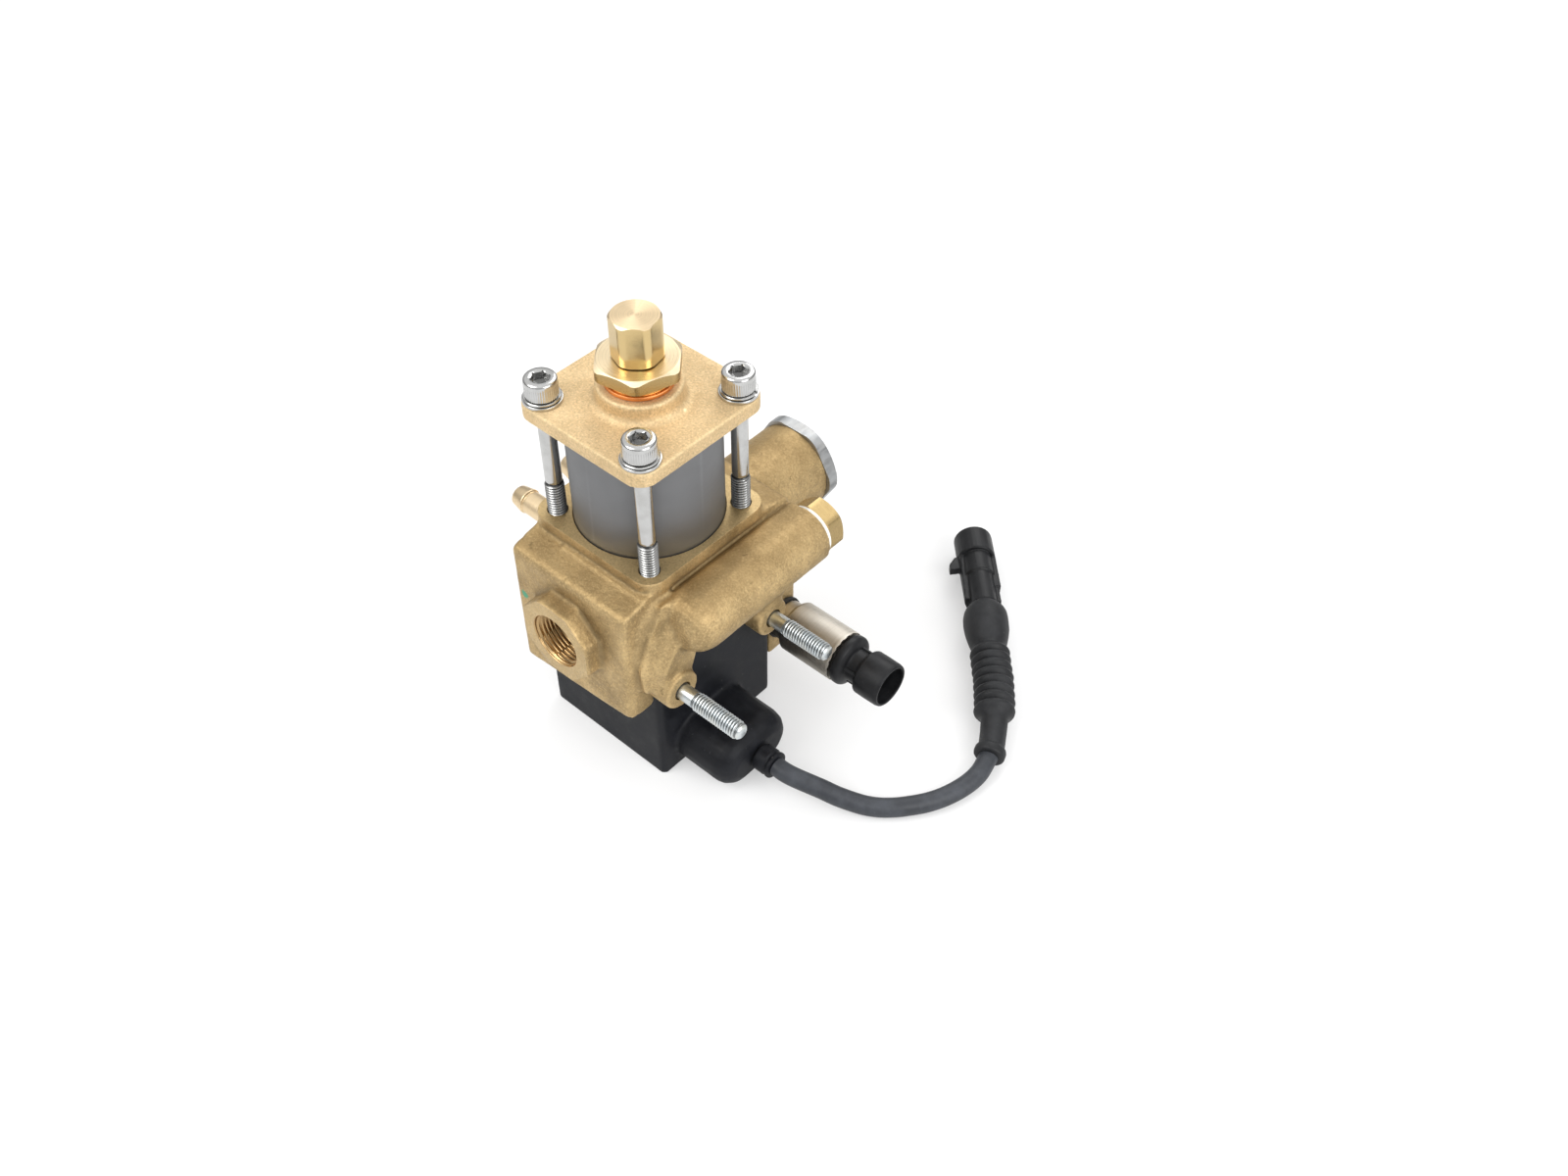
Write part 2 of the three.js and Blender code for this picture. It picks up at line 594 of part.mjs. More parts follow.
// The coil's moulding, with the rounded cable housing on its right-hand side.
function coilMoulding() {
  const plan = roundedRect(-COIL_HALF, COIL_HALF, -COIL_HALF, COIL_HALF, COIL_CORNER);
  const edge = 0.6;
  const block = new THREE.ExtrudeGeometry(plan, {
    depth: COIL_TOP - edge, bevelEnabled: true, bevelSegments: 1, bevelSize: edge,
    bevelThickness: edge, bevelOffset: -edge, curveSegments: 5,
  });
  // stadium sections that shrink towards the housing's end make its rounded edge
  const sections = [[24, 1], [HOUSING.end - 6, 1], [HOUSING.end - 3.4, 0.94],
    [HOUSING.end - 1.3, 0.78], [HOUSING.end, 0.52]];
  const radius = HOUSING.height / 2;
  const points = [];
  for (const [x, shrink] of sections) {
    for (const side of [-1, 1]) {
      const middle = GLAND.y + side * (HOUSING.half - radius);
      for (let i = 0; i < 20; i++) {
        const angle = i * Math.PI / 10;
        points.push([x, middle + radius * shrink * Math.cos(angle),
          radius + radius * shrink * Math.sin(angle)]);
      }
    }
  }
  return join(toSolid(block).intersect(toSolid(box(-30, 30, -30, 30, 0, COIL_TOP))), hull(points));
}

function addSolenoid() {
  const moulding = cut(
    coilMoulding(),
    toSolid(rod(11.8, -1, 6, 28)),
    toSolid(rod(8.3, 5, COIL_TOP + 1, 24)),
    toSolid(rod(18, 9, 46, 32)),
  );
  piece('coil_housing', moulding, blackPlastic());
  piece('coil_winding', toSolid(ring(8.7, 17.7, 9.3, 45.7, 28)), copper());
  piece('armature_tube', toSolid(revolve([
    [6.4, 2.4], [8, 2.4], [8, 57.5], [2, 57.5], [2, 55.5], [6.4, 55.5], [6.4, 2.4],
  ], 24)), stainless());
  piece('fixed_core', toSolid(rod(6.1, 2.4, 20, 20)), darkSteel());
  piece('solenoid_plunger', toSolid(revolve([
    [0, 33], [4, 33], [4, 23.2], [6.1, 23.2], [6.1, 53], [2.6, 55.2], [0, 55.2],
  ], 20)), darkSteel());
  piece('plunger_spring', toSolid(coilSpring(3, 0.4, 20.3, 32.7, 6, 8, 5)), springSteel());
  piece('coil_nut', cut(
    toSolid(prism(polygon(6, 19), 2.2, 5.6)),
    toSolid(rod(8.3, 2, 6, 24)),
  ), zincSteel());
  piece('coil_end_cap', toSolid(revolve([
    [0, 0], [11.2, 0], [11.5, 0.3], [11.5, 1.6], [0, 1.6],
  ], 28)), blackPlastic());
}

// ---------------------------------------------------------------- lead and connector

function addLead() {
  const { y, z, start, end, radius } = GLAND;
  piece('cable_gland', toSolid(shift(towardX(revolve([
    [0, start + GAP], [radius, start + GAP], [radius, end - 0.6], [radius - 0.6, end], [0, end],
  ], 20)), 0, y, z)), blackPlastic());

  const route = new THREE.CatmullRomCurve3(CABLE_ROUTE.map((p) => new THREE.Vector3(...p)));
  piece('coil_cable', toSolid(new THREE.ExtrudeGeometry(circle(CABLE_R, 10), {
    extrudePath: route, steps: 12,
  })), greyCable());

  // collar, sleeve, bellows with nine ribs and the smooth bulb over the connector's tail
  const bootCurve = new THREE.CatmullRomCurve3(BOOT_ROUTE.map((p) => new THREE.Vector3(...p)));
  const ribs = 9;
  const [bellowsFrom, bellowsTo] = [0.26, 0.65];
  const stations = [[0, 4.8], [0.008, 5.25], [0.045, 5.25], [0.055, 4.4], [0.235, 4.5]];
  for (let i = 0; i < ribs; i++) {
    const at = bellowsFrom + (bellowsTo - bellowsFrom) * i / (ribs - 1);
    stations.push([at, 6.9], [at + 0.022, 6.1]);
  }
  stations.push([0.7, 6.7], [0.79, 7.6], [0.88, 8.05], [0.94, 7.8], [0.98, 6.8], [1, 5.6]);
  piece('cable_boot', toSolid(taperedTube(bootCurve, stations, 14)), blackRubber());
}

// The connector lies in a group of its own: its Z runs from the boot to the open mouth.
function addConnector() {
  const plug = new THREE.Group();
  plug.position.set(...PLUG_START);
  plug.rotation.set(0, 0, PLUG_HEADING);
  const lying = new THREE.Group();
  lying.rotation.set(0, Math.PI / 2 + PLUG_DROOP, 0);
  plug.add(lying);
  group.add(plug);

  const mouthDepth = 11.5;
  const mouthR = 5.7;
  const length = PLUG_LENGTH;
  const rim = length - 11.4;
  const shell = toSolid(revolve([
    [0, GAP], [4.5, GAP], [4.9, 1.2], [4.9, 15], [5.6, 15.6], [5.6, rim], [6.6, rim],
    [7.05, rim + 0.5], [7.05, length - 0.5], [6.7, length], [0, length],
  ], 28));
  // stepped lock bar on one side; a part shroud and a hooked lug on the other
  const lockBar = toSolid(box(-1.9, 1.9, -6.9, -4, 9.5, length - 1.2));
  const lockTail = toSolid(box(-1.3, 1.3, -6.2, -4, 2, 10));
  const shroud = toSolid(ring(4.5, 6.8, 4, rim + 1, 24))
    .intersect(hull([[-1, 3, 4], [-1, 9, 4], [7, 9, 4], [7, -1, 4], [2, -1, 4],
      [-3, 3, rim + 1], [-3, 9, rim + 1], [7, 9, rim + 1], [7, -2, rim + 1]]));
  const hook = hull([
    [-1.5, 6, rim + 1], [1.5, 6, rim + 1], [-1.5, 8.2, rim + 0.2], [1.5, 8.2, rim + 0.2],
    [-1.5, 10.4, rim - 3.2], [1.5, 10.4, rim - 3.2], [-1.5, 10.4, rim - 6], [1.5, 10.4, rim - 6],
    [-1.5, 6, rim - 5.4], [1.5, 6, rim - 5.4],
  ]);
  const hollow = toSolid(rod(mouthR, length - mouthDepth, length + 1, 28));
  piece('connector_housing', cut(join(shell, lockBar, lockTail, shroud, hook), hollow),
    blackPlastic(), lying);
  [-2, 2].forEach((offset, i) => {
    const pin = shift(rod(0.75, length - mouthDepth + GAP, length - 6.5, 10), 0, offset, 0);
    piece(`connector_pin_${i + 1}`, toSolid(pin), turnedBrass(), lying);
  });
}

// ---------------------------------------------------------------- fittings

function addBarbs() {
  const tip = -51.5;
  const profile = [
    [1.9, -4.6], [4, -4.6], [4, 3], [3.9, 3.2], [3.9, 22], [4.35, 22.4], [3.5, 27.3],
    [3, 27.9], [1.9, 27.9], [1.9, -4.6],
  ];
  BARBS.y.forEach((y, i) => {
    const fitting = revolve(profile, 20);
    fitting.rotateY(-Math.PI / 2);
    fitting.translate(tip + 27.9, y, BARBS.z);
    piece(i === 0 ? 'hose_barb_front' : 'hose_barb_rear', toSolid(fitting), turnedBrass());
  });
}

function addStuds() {
  STUDS.forEach(({ y, z, end }, i) => {
    const root = 27.7;
    const plainEnd = STUD_FACE + 6;
    const stud = revolve([
      [0, root], [THREAD_R, root], [THREAD_R, STUD_FACE - 0.4], [SHANK_R, STUD_FACE],
      [SHANK_R, plainEnd], [THREAD_R, plainEnd + 0.4], [THREAD_R, end - 0.9],
      [THREAD_R - 0.9, end], [0, end],
    ], 18);
    piece(`mounting_stud_${i + 1}`, toSolid(shift(towardX(stud), 0, y, z)), zincSteel());
  });
}

function addBranchPlug() {
  const { x, z, back } = BRANCH;
  const washerEnd = back + 1.6;
  piece('plug_washer', toSolid(shift(towardY(ring(5.3, 8.9, back + FACE_GAP, washerEnd, 28)),
    x, 0, z)), whiteWasher());
  const firstCorner = -100 * Math.PI / 180;
  const hexagon = towardY(prism(polygon(6, 16, firstCorner), washerEnd + FACE_GAP, 43.4));
  const dome = towardY(revolve([[0, washerEnd], [9, washerEnd], [9, 42.4], [8, 43.4], [0, 43.4]],
    36));
  const spigot = towardY(rod(4.7, 27, washerEnd + 1, 20));
  piece('branch_plug', join(toSolid(hexagon).intersect(toSolid(dome)), toSolid(spigot))
    .translate([x, 0, z]), turnedBrass());
}

function addFilter() {
  const capEnd = FILTER_FACE + 4.8;
  const flange = FILTER_FACE + FACE_GAP;
  const at = (geometry) => toSolid(shift(towardY(geometry), 0, 0, PORT_Z));
  const head = at(prism(polygon(6, 31), flange, capEnd))
    .intersect(at(revolve([[0, flange - 1], [16.6, flange - 1], [16.6, capEnd - 0.8],
      [15.4, capEnd], [0, capEnd]], 48)));
  const spigot = at(revolve([[0, 57], [10.6, 57], [11.2, 57.6], [11.2, 61.6], [9.8, 61.6],
    [9.8, 63.6], [11.2, 63.6], [11.2, flange + 0.5], [0, flange + 0.5]], 28));
  piece('filter_cap', join(head, spigot), stainless());
  piece('filter_cap_seal', at(torus(10.7, 0.7, 62.6, 24, 6)), blackRubber());
  piece('filter_element', at(revolve([[0, 56.4], [8, 56.4], [8, 39.2], [5.5, 39.2],
    [5.5, 54], [0, 54]], 24)), springSteel());
}

// ---------------------------------------------------------------- pressure sensor

// Built along its own Z, which points away from the body along +X.
function addSensor() {
  const sensor = new THREE.Group();
  sensor.position.set(SENSOR.face, SENSOR.y, SENSOR.z);
  sensor.rotation.set(0, Math.PI / 2, 0);
  group.add(sensor);
  const barrel = 6;
  const crimp = 28;
  const mouth = 47;
  piece('sensor_seal', toSolid(ring(6.7, 7.6, GAP, 1.5, 20)), blackRubber(), sensor);
  piece('sensor_body', toSolid(revolve([
    [0, -12], [6, -12], [6.4, -11.4], [6.4, 2], [7, 2], [7, barrel], [8.2, barrel],
    [9, barrel + 1], [9, crimp - 0.8], [8.6, crimp], [0, crimp],
  ], 32)), stainless(), sensor);
  const socket = toSolid(revolve([
    [0, crimp + GAP], [8.7, crimp + GAP], [8.9, crimp + 0.8], [8.9, crimp + 2.6],
    [7.6, crimp + 4], [5.9, crimp + 4.6], [5.9, crimp + 8.2], [7.6, crimp + 9],
    [7.9, crimp + 9.6], [7.9, mouth - 0.5], [7.6, mouth], [6.6, mouth], [6.6, mouth - 9.5],
    [0, mouth - 9.5],
  ], 28));
  // keying rib under the socket
  const key = toSolid(box(6.8, 9, -1.3, 1.3, mouth - 9.4, mouth - 5));
  piece('sensor_socket', join(socket, key.subtract(toSolid(rod(6.6, mouth - 9.5, mouth, 28)))),
    blackPlastic(), sensor);
  [-2.2, 0, 2.2].forEach((offset, i) => {
    const pin = shift(rod(0.5, mouth - 9.5 + GAP, mouth - 6.6, 8), 0, offset, 0);
    piece(`sensor_pin_${i + 1}`, toSolid(pin), turnedBrass(), sensor);
  });
}

addBody();
addSpringCylinder();
addScrews();
addAdjuster();
addRegulator();
addSolenoid();
addLead();
addConnector();
addBarbs();
addStuds();
addBranchPlug();
addFilter();
addSensor();

export default group;
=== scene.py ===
"""Looks for the solenoid piston pressure regulator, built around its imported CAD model.

Geometry is written in millimetres in the CAD frame and turned into metres when an object is made.
Turned pieces are lathed about their own Z, so that their materials can follow the tool marks.
Castings and mouldings are the CAD solids melted into one skin with soft edges, then machined.
"""
import math

import bmesh
import bpy
import numpy as np
from mathutils import Matrix, Vector, noise


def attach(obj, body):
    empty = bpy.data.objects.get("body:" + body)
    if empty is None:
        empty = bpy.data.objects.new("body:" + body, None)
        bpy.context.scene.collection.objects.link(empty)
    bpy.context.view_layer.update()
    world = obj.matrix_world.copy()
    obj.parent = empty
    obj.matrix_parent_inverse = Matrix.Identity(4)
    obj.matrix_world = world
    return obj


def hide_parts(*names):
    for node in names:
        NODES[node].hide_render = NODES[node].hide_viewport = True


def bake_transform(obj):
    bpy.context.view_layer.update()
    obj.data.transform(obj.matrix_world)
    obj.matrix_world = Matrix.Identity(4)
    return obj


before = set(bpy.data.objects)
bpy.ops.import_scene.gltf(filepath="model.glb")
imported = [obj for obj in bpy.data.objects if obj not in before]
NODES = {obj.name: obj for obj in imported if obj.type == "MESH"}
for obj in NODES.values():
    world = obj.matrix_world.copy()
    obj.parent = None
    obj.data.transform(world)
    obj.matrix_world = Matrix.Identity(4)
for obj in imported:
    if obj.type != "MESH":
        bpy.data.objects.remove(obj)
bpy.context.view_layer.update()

MM = 0.001
TAU = 2 * math.pi
SCENE = bpy.context.scene

# ------------ dimensions shared with the CAD

PORT_Z = 60.5
PORT_FACE = -42.7
FILTER_FACE = 66.5
DECK_TOP = 87.4
DECK_HALF, DECK_CORNER = 26, 6.3
TUBE_IN, TUBE_OUT, TUBE_LOW, TUBE_HIGH = 20, 23.3, 83.7, 125.9
GROOVE_IN, GROOVE_OUT = 20.7, 22.9  # of the cylinder's two seals
PLATE_TOP = 130
BOSS_TOP = 136
NUT_FLATS, NUT_LOW, NUT_HIGH = 24, 140.2, 144.3
HEAD_FLATS, HEAD_LOW, HEAD_HIGH = 14, 144.6, 158.2
SCREW_AT = 19.76
BRANCH_X, BRANCH_Z, BRANCH_BACK = 33.6, 72.4, 35
# y, z and outer end of each stud
STUDS = [(-24.1, 48.7, 60), (17.2, 48.2, 58.4)]
STUD_FACE = 35
SENSOR = (25, 33, 29.4)  # the middle of its seat
BARB_Y = (-10.5, 10.5)
BARB_Z = 67.7
REGULATOR_SPRING = (98.3, 117.5)
PLUNGER_SPRING = (20.3, 32.7)
GLAND = (-4.4, 10)  # y and z
CABLE_R = 3.25
FLOOR_Z = CABLE_R + 0.05  # the lead's middle where it lies on the ground
CABLE_ROUTE = [
    (56.2, *GLAND), (59.5, -4.4, 9.95), (63, -3.75, 9.7), (67.3, -2.2, 8.9), (71.9, -0.15, 7.6),
    (76.8, 1.95, 6), (82.2, 4.8, 4.5), (85.6, 6.9, 3.75), (88.8, 9.3, FLOOR_Z + 0.1),
    (91.7, 12, FLOOR_Z), (94.3, 14.9, FLOOR_Z), (98.5, 20.6, FLOOR_Z), (101.7, 27.1, FLOOR_Z),
    (103.8, 34.5, FLOOR_Z + 0.1), (104.4, 41, 3.9), (103.3, 47.2, 4.8),
]
BOOT_ROUTE = [
    (103.15, 47.85, 4.9), (101.7, 51.5, 5.3), (98.6, 56.8, 5.8), (95.2, 61.9, 6.95),
    (86.7, 73.1, 7), (77.3, 83.5, 7.4), (69.1, 92.6, 8.1), (64, 98.8, 8.15),
]

# ------------ camera and light


def linked(name, data):
    """A new object of the scene that shows the data."""
    obj = bpy.data.objects.new(name, data)
    SCENE.collection.objects.link(obj)
    return obj


def camera_matrix(location, azimuth, elevation, roll):
    """A viewpoint that looks down from an azimuth, counted from the front towards the right."""
    az, el, r = (math.radians(a) for a in (azimuth, elevation, roll))
    back = Vector((math.sin(az) * math.cos(el), -math.cos(az) * math.cos(el), math.sin(el)))
    right = Vector((math.cos(az), math.sin(az), 0))
    up = back.cross(right)
    turned = right * math.cos(r) + up * math.sin(r)
    upright = up * math.cos(r) - right * math.sin(r)
    matrix = Matrix((turned, upright, back)).transposed().to_4x4()
    matrix.translation = location
    return matrix


def add_camera():
    data = bpy.data.cameras.new("camera")
    data.lens = 34.916
    data.sensor_width = 36
    data.clip_start = 0.01
    camera = linked("camera", data)
    camera.matrix_world = camera_matrix((0.25608, -0.22968, 0.40395), 41.22, 45.91, 0.446)
    SCENE.camera = camera


def area_light(name, location, size, power):
    """A square light that points at the middle of the part."""
    data = bpy.data.lights.new(name, "AREA")
    data.size = size
    data.energy = power
    light = linked(name, data)
    light.location = location
    aim = Vector((0, 0, 0.06)) - Vector(location)
    light.rotation_euler = aim.to_track_quat("-Z", "Y").to_euler()


def add_studio():
    """Three soft lights in a pale room that is darker below."""
    world = bpy.data.worlds.new("studio")
    SCENE.world = world
    world.use_nodes = True
    tree = world.node_tree
    background = tree.nodes["Background"]
    coordinate = tree.nodes.new("ShaderNodeTexCoord")
    parts = tree.nodes.new("ShaderNodeSeparateXYZ")
    ramp = tree.nodes.new("ShaderNodeValToRGB")
    tree.links.new(coordinate.outputs["Generated"], parts.inputs[0])
    tree.links.new(parts.outputs["Z"], ramp.inputs[0])
    tree.links.new(ramp.outputs[0], background.inputs["Color"])
    stops = [(0.0, 0.12), (0.2, 0.25), (0.55, 0.8), (1.0, 1.0)]
    while len(ramp.color_ramp.elements) < len(stops):
        ramp.color_ramp.elements.new(0.5)
    for element, (height, grey) in zip(ramp.color_ramp.elements, stops):
        element.position = height
        element.color = (grey, grey, grey, 1)
    background.inputs["Strength"].default_value = 1.2
    area_light("key_light", (-0.25, -0.55, 0.75), 0.5, 4.6)
    area_light("fill_light", (0.75, -0.05, 0.48), 0.5, 4.4)
    area_light("back_light", (-0.2, 0.7, 0.7), 0.6, 3.0)
    SCENE.view_settings.view_transform = "Standard"


# ------------ materials


class Finish:
    """A Principled material and short names for the nodes that its pattern is made of."""

    def __init__(self, name, colour, metallic, roughness, **sockets):
        self.material = bpy.data.materials.new(name)
        self.material.use_nodes = True
        self.material.diffuse_color = (*colour, 1)
        self.tree = self.material.node_tree
        self.shader = self.tree.nodes["Principled BSDF"]
        values = {"Base Color": (*colour, 1), "Metallic": metallic, "Roughness": roughness}
        for socket, value in {**values, **sockets}.items():
            self.shader.inputs[socket].default_value = value
        self.place = self.add("ShaderNodeTexCoord").outputs["Object"]

    def add(self, kind, **settings):
        node = self.tree.nodes.new(kind)
        for key, value in settings.items():
            setattr(node, key, value)
        return node

    def feed(self, node, *values):
        """Sets or links a node's inputs in order; None leaves one as it is."""
        for socket, value in zip(node.inputs, values):
            if isinstance(value, bpy.types.NodeSocket):
                self.tree.links.new(value, socket)
            elif value is not None:
                socket.default_value = value
        return node

    def maths(self, operation, *values):
        return self.feed(self.add("ShaderNodeMath", operation=operation), *values).outputs[0]

    def vector_maths(self, operation, *values):
        return self.feed(self.add("ShaderNodeVectorMath", operation=operation), *values).outputs

    def stretched(self, x, y, z):
        """The piece's own coordinates, scaled; a factor under 1 draws a pattern out."""
        node = self.add("ShaderNodeMapping")
        return self.feed(node, self.place, None, None, (x, y, z)).outputs[0]

    def radius(self):
        """Distance from the piece's own Z."""
        flat = self.vector_maths("MULTIPLY", self.place, (1, 1, 0))["Vector"]
        return self.vector_maths("LENGTH", flat)["Value"]

    def rings(self):
        """Coordinates that are the same all the way round the piece's own Z."""
        parts = self.feed(self.add("ShaderNodeSeparateXYZ"), self.place)
        node = self.add("ShaderNodeCombineXYZ")
        return self.feed(node, self.radius(), 0.0, parts.outputs["Z"]).outputs[0]

    def noise(self, scale, detail=3, rough=0.55, vector=None):
        node = self.add("ShaderNodeTexNoise")
        return self.feed(node, vector or self.place, None, scale, detail, rough).outputs["Fac"]

    def spread(self, value, low, high, out_low, out_high):
        """Turns low to high into out_low to out_high, and holds them beyond."""
        node = self.add("ShaderNodeMapRange")
        return self.feed(node, value, low, high, out_low, out_high).outputs[0]

    def mix(self, factor, a, b):
        """A colour that goes from a to b; inputs 6 and 7 are the node's two colours."""
        node = self.add("ShaderNodeMix", data_type="RGBA")
        self.tree.links.new(factor, node.inputs[0])
        for socket, value in ((node.inputs[6], a), (node.inputs[7], b)):
            if isinstance(value, bpy.types.NodeSocket):
                self.tree.links.new(value, socket)
            else:
                socket.default_value = (*value, 1)
        return node.outputs[2]

    def pointiness(self):
        return self.add("ShaderNodeNewGeometry").outputs["Pointiness"]

    def set(self, socket, value):
        """Links a value to one of the shader's inputs."""
        self.tree.links.new(value, self.shader.inputs[socket])

    def bump(self, height, distance):
        node = self.add("ShaderNodeBump")
        self.tree.links.new(height, node.inputs["Height"])
        node.inputs["Distance"].default_value = distance
        self.set("Normal", node.outputs[0])


def scaled(colour, factor):
    """A colour times a factor, at most white."""
    return tuple(min(1, c * factor) for c in colour)


def cast_finish(name, light, middle, dark, roughness, grain, pitted=0.0, wear_and_shade=1.0, top_shade=0.0,
                paint_at=None):
    """Sand-cast metal: mottled, grainy, bright with wear on its edges, with painted shade in small
    recesses.
    top_shade is how far faces that look up are darkened as painted shade, paint_at the place of a dab
    of green paint."""
    f = Finish(name, middle, 0.82, roughness)
    cloud = f.noise(70, 4, 0.6)
    grit = f.noise(1100, 3, 0.6)
    speck = f.noise(420, 4, 0.72)
    fine = f.noise(1500, 2, 0.6)
    base = f.mix(f.spread(cloud, 0.36, 0.66, 0.0, 1.0), dark, light)
    base = f.mix(f.spread(speck, 0.50, 0.68, 0.0, 0.45), base, middle)
    pits = f.spread(f.noise(260, 2, 0.4), 0.71, 0.77, 0.0, pitted)
    base = f.mix(pits, base, scaled(dark, 0.35))
    base = f.mix(f.spread(fine, 0.53, 0.70, 0.0, 0.45), base, scaled(middle, 0.5))
    base = f.mix(f.spread(fine, 0.47, 0.32, 0.0, 0.40), base, scaled(light, 1.3))
    facing = f.feed(f.add("ShaderNodeSeparateXYZ"), f.add("ShaderNodeNewGeometry").outputs["Normal"])
    # painted shade: faces that look up are darkened towards a deeper dark
    upward_shade = f.spread(facing.outputs["Z"], 0.45, 0.9, 0.0, top_shade)
    base = f.mix(upward_shade, base, (dark[0] * 0.85, dark[1] * 0.78, dark[2] * 0.65))
    # painted shade: the skin darkens where it lies below its smoothed shape, and in the extra shaded
    # recess
    cavity_shade = f.add("ShaderNodeAttribute", attribute_name="cavity").outputs["Fac"]
    base = f.mix(f.spread(cavity_shade, 0.10, 0.85, 0.0, 0.7), base, scaled(dark, 0.75))
    edge = f.spread(f.pointiness(), 0.515, 0.60, 0.0, wear_and_shade)
    # painted shade: small concave spots of the skin are darkened
    hollow_shade = f.spread(f.pointiness(), 0.49, 0.43, 0.0, 0.8 * wear_and_shade)
    base = f.mix(f.maths("MULTIPLY", edge, 0.5), base, scaled(light, 1.4))
    base = f.mix(hollow_shade, base, scaled(dark, 0.5))
    if paint_at:
        offset = f.vector_maths("DISTANCE", f.place, tuple(c * MM for c in paint_at))["Value"]
        reach = f.maths("ADD", offset, f.maths("MULTIPLY", speck, 0.0028))
        base = f.mix(f.spread(reach, 0.0031, 0.0026, 0.0, 0.85), base, (0.05, 0.36, 0.22))
    f.set("Base Color", base)
    rough = f.spread(speck, 0.3, 0.7, roughness - 0.08, roughness + 0.14)
    f.set("Roughness", f.maths("SUBTRACT", rough, f.maths("MULTIPLY", edge, 0.14)))
    f.bump(f.maths("ADD", f.maths("MULTIPLY", grit, 0.6), speck), grain)
    return f.material


def turned_finish(name, colour, roughness, depth=0.00002, contrast=0.16, metallic=1.0):
    """Metal turned on a lathe: fine rings round the piece's own axis, and a few dull patches."""
    f = Finish(name, colour, metallic, roughness, Anisotropic=0.75)
    around = f.add("ShaderNodeTangent", direction_type="RADIAL", axis="Z")
    f.set("Tangent", around.outputs[0])
    rings = f.rings()
    fine = f.noise(3800, 2, 0.6, rings)
    broad = f.noise(700, 2, 0.5, rings)
    patch = f.noise(180, 4, 0.6)
    shade = scaled(colour, 1 - contrast)
    bright = scaled(colour, 1 + contrast * 0.6)
    base = f.mix(f.spread(fine, 0.3, 0.7, 0.0, 1.0), shade, bright)
    base = f.mix(f.spread(patch, 0.52, 0.72, 0.0, 0.2), base, shade)
    edge = f.spread(f.pointiness(), 0.53, 0.62, 0.0, 0.6)
    f.set("Base Color", f.mix(edge, base, scaled(colour, 1.25)))
    mixed = f.maths("ADD", f.maths("MULTIPLY", fine, 0.7), f.maths("MULTIPLY", patch, 0.3))
    f.set("Roughness", f.spread(mixed, 0.3, 0.7, roughness * 0.8, roughness * 1.2))
    f.bump(f.maths("ADD", fine, broad), depth)
    return f.material


def plated_finish(name, colour, tint, roughness, shade_depth=0.85, grooves=None):
    """Plated or polished steel: slight colour drift, tiny scratches along the piece, painted shade in
    recesses.
    grooves gives the radii between which painted shade deepens towards a screw thread's root."""
    f = Finish(name, colour, 1.0, roughness)
    drift = f.noise(240, 3, 0.5)
    scratch = f.noise(900, 3, 0.7, f.stretched(1, 1, 0.12))
    fine = f.noise(3000, 2, 0.5)
    base = f.mix(f.spread(drift, 0.4, 0.65, 0.0, 1.0), colour, tint)
    # painted shade: darker towards a thread's root, or in small concave spots of the skin
    if grooves:
        hollow_shade = f.spread(f.radius(), grooves[1] * MM, grooves[0] * MM, 0.0, shade_depth)
    else:
        hollow_shade = f.spread(f.pointiness(), 0.497, 0.45, 0.0, shade_depth)
    base = f.mix(hollow_shade, base, scaled(colour, 0.12))
    f.set("Base Color", f.mix(f.spread(fine, 0.6, 0.75, 0.0, 0.3), base, scaled(colour, 0.6)))
    f.set("Roughness", f.spread(scratch, 0.3, 0.72, roughness * 0.75, roughness * 1.5))
    f.bump(f.maths("ADD", scratch, f.maths("MULTIPLY", fine, 0.3)), 0.000012)
    return f.material


def moulded_finish(name, colour, roughness, grain, dust, scale=1.0, gloss=0.25):
    """Moulded plastic or rubber: fine spark-eroded grain, duller scuffs, a little pale dust."""
    f = Finish(name, colour, 0.0, roughness, **{"Specular IOR Level": gloss})
    grit = f.noise(2400 * scale, 2, 0.6)
    scuff = f.noise(130, 5, 0.65)
    lighter = tuple(c * 1.7 + 0.004 for c in colour)
    base = f.mix(f.spread(scuff, 0.42, 0.7, 0.0, 1.0), colour, lighter)
    edge = f.spread(f.pointiness(), 0.53, 0.64, 0.0, 0.5)
    base = f.mix(edge, base, tuple(c * 2.4 + 0.01 for c in colour))
    fleck = f.spread(f.noise(700, 1, 0.4), 0.74, 0.80, 0.0, dust)
    f.set("Base Color", f.mix(fleck, base, (0.18, 0.18, 0.18)))
    f.set("Roughness", f.spread(scuff, 0.3, 0.7, roughness - 0.07, roughness + 0.12))
    f.bump(f.maths("ADD", grit, f.maths("MULTIPLY", scuff, 0.8)), grain)
    return f.material


CAST = cast_finish("cast_brass", (0.56, 0.41, 0.205), (0.45, 0.325, 0.16), (0.31, 0.22, 0.105),
                   0.54, 0.00020, 0.7, top_shade=0.42, paint_at=(-19.7, -37.2, 62.9))
# paler than the body's brass: partly the plate's own finish, partly painted light on its top, which
# looks up
PLATE = cast_finish("plate_brass", (0.77, 0.60, 0.36), (0.69, 0.53, 0.31), (0.60, 0.455, 0.26),
                    0.66, 0.00014)
MACHINED = cast_finish("machined_brass", (0.54, 0.40, 0.20), (0.49, 0.355, 0.175),
                       (0.43, 0.31, 0.15), 0.42, 0.00002, wear_and_shade=0.0)
BRASS = turned_finish("turned_brass", (0.70, 0.515, 0.26), 0.26)
# painted light: a paler copy of the turned brass for faces that look up
TOP_LIT_BRASS = turned_finish("top_lit_brass", (0.90, 0.74, 0.49), 0.32, contrast=0.10)
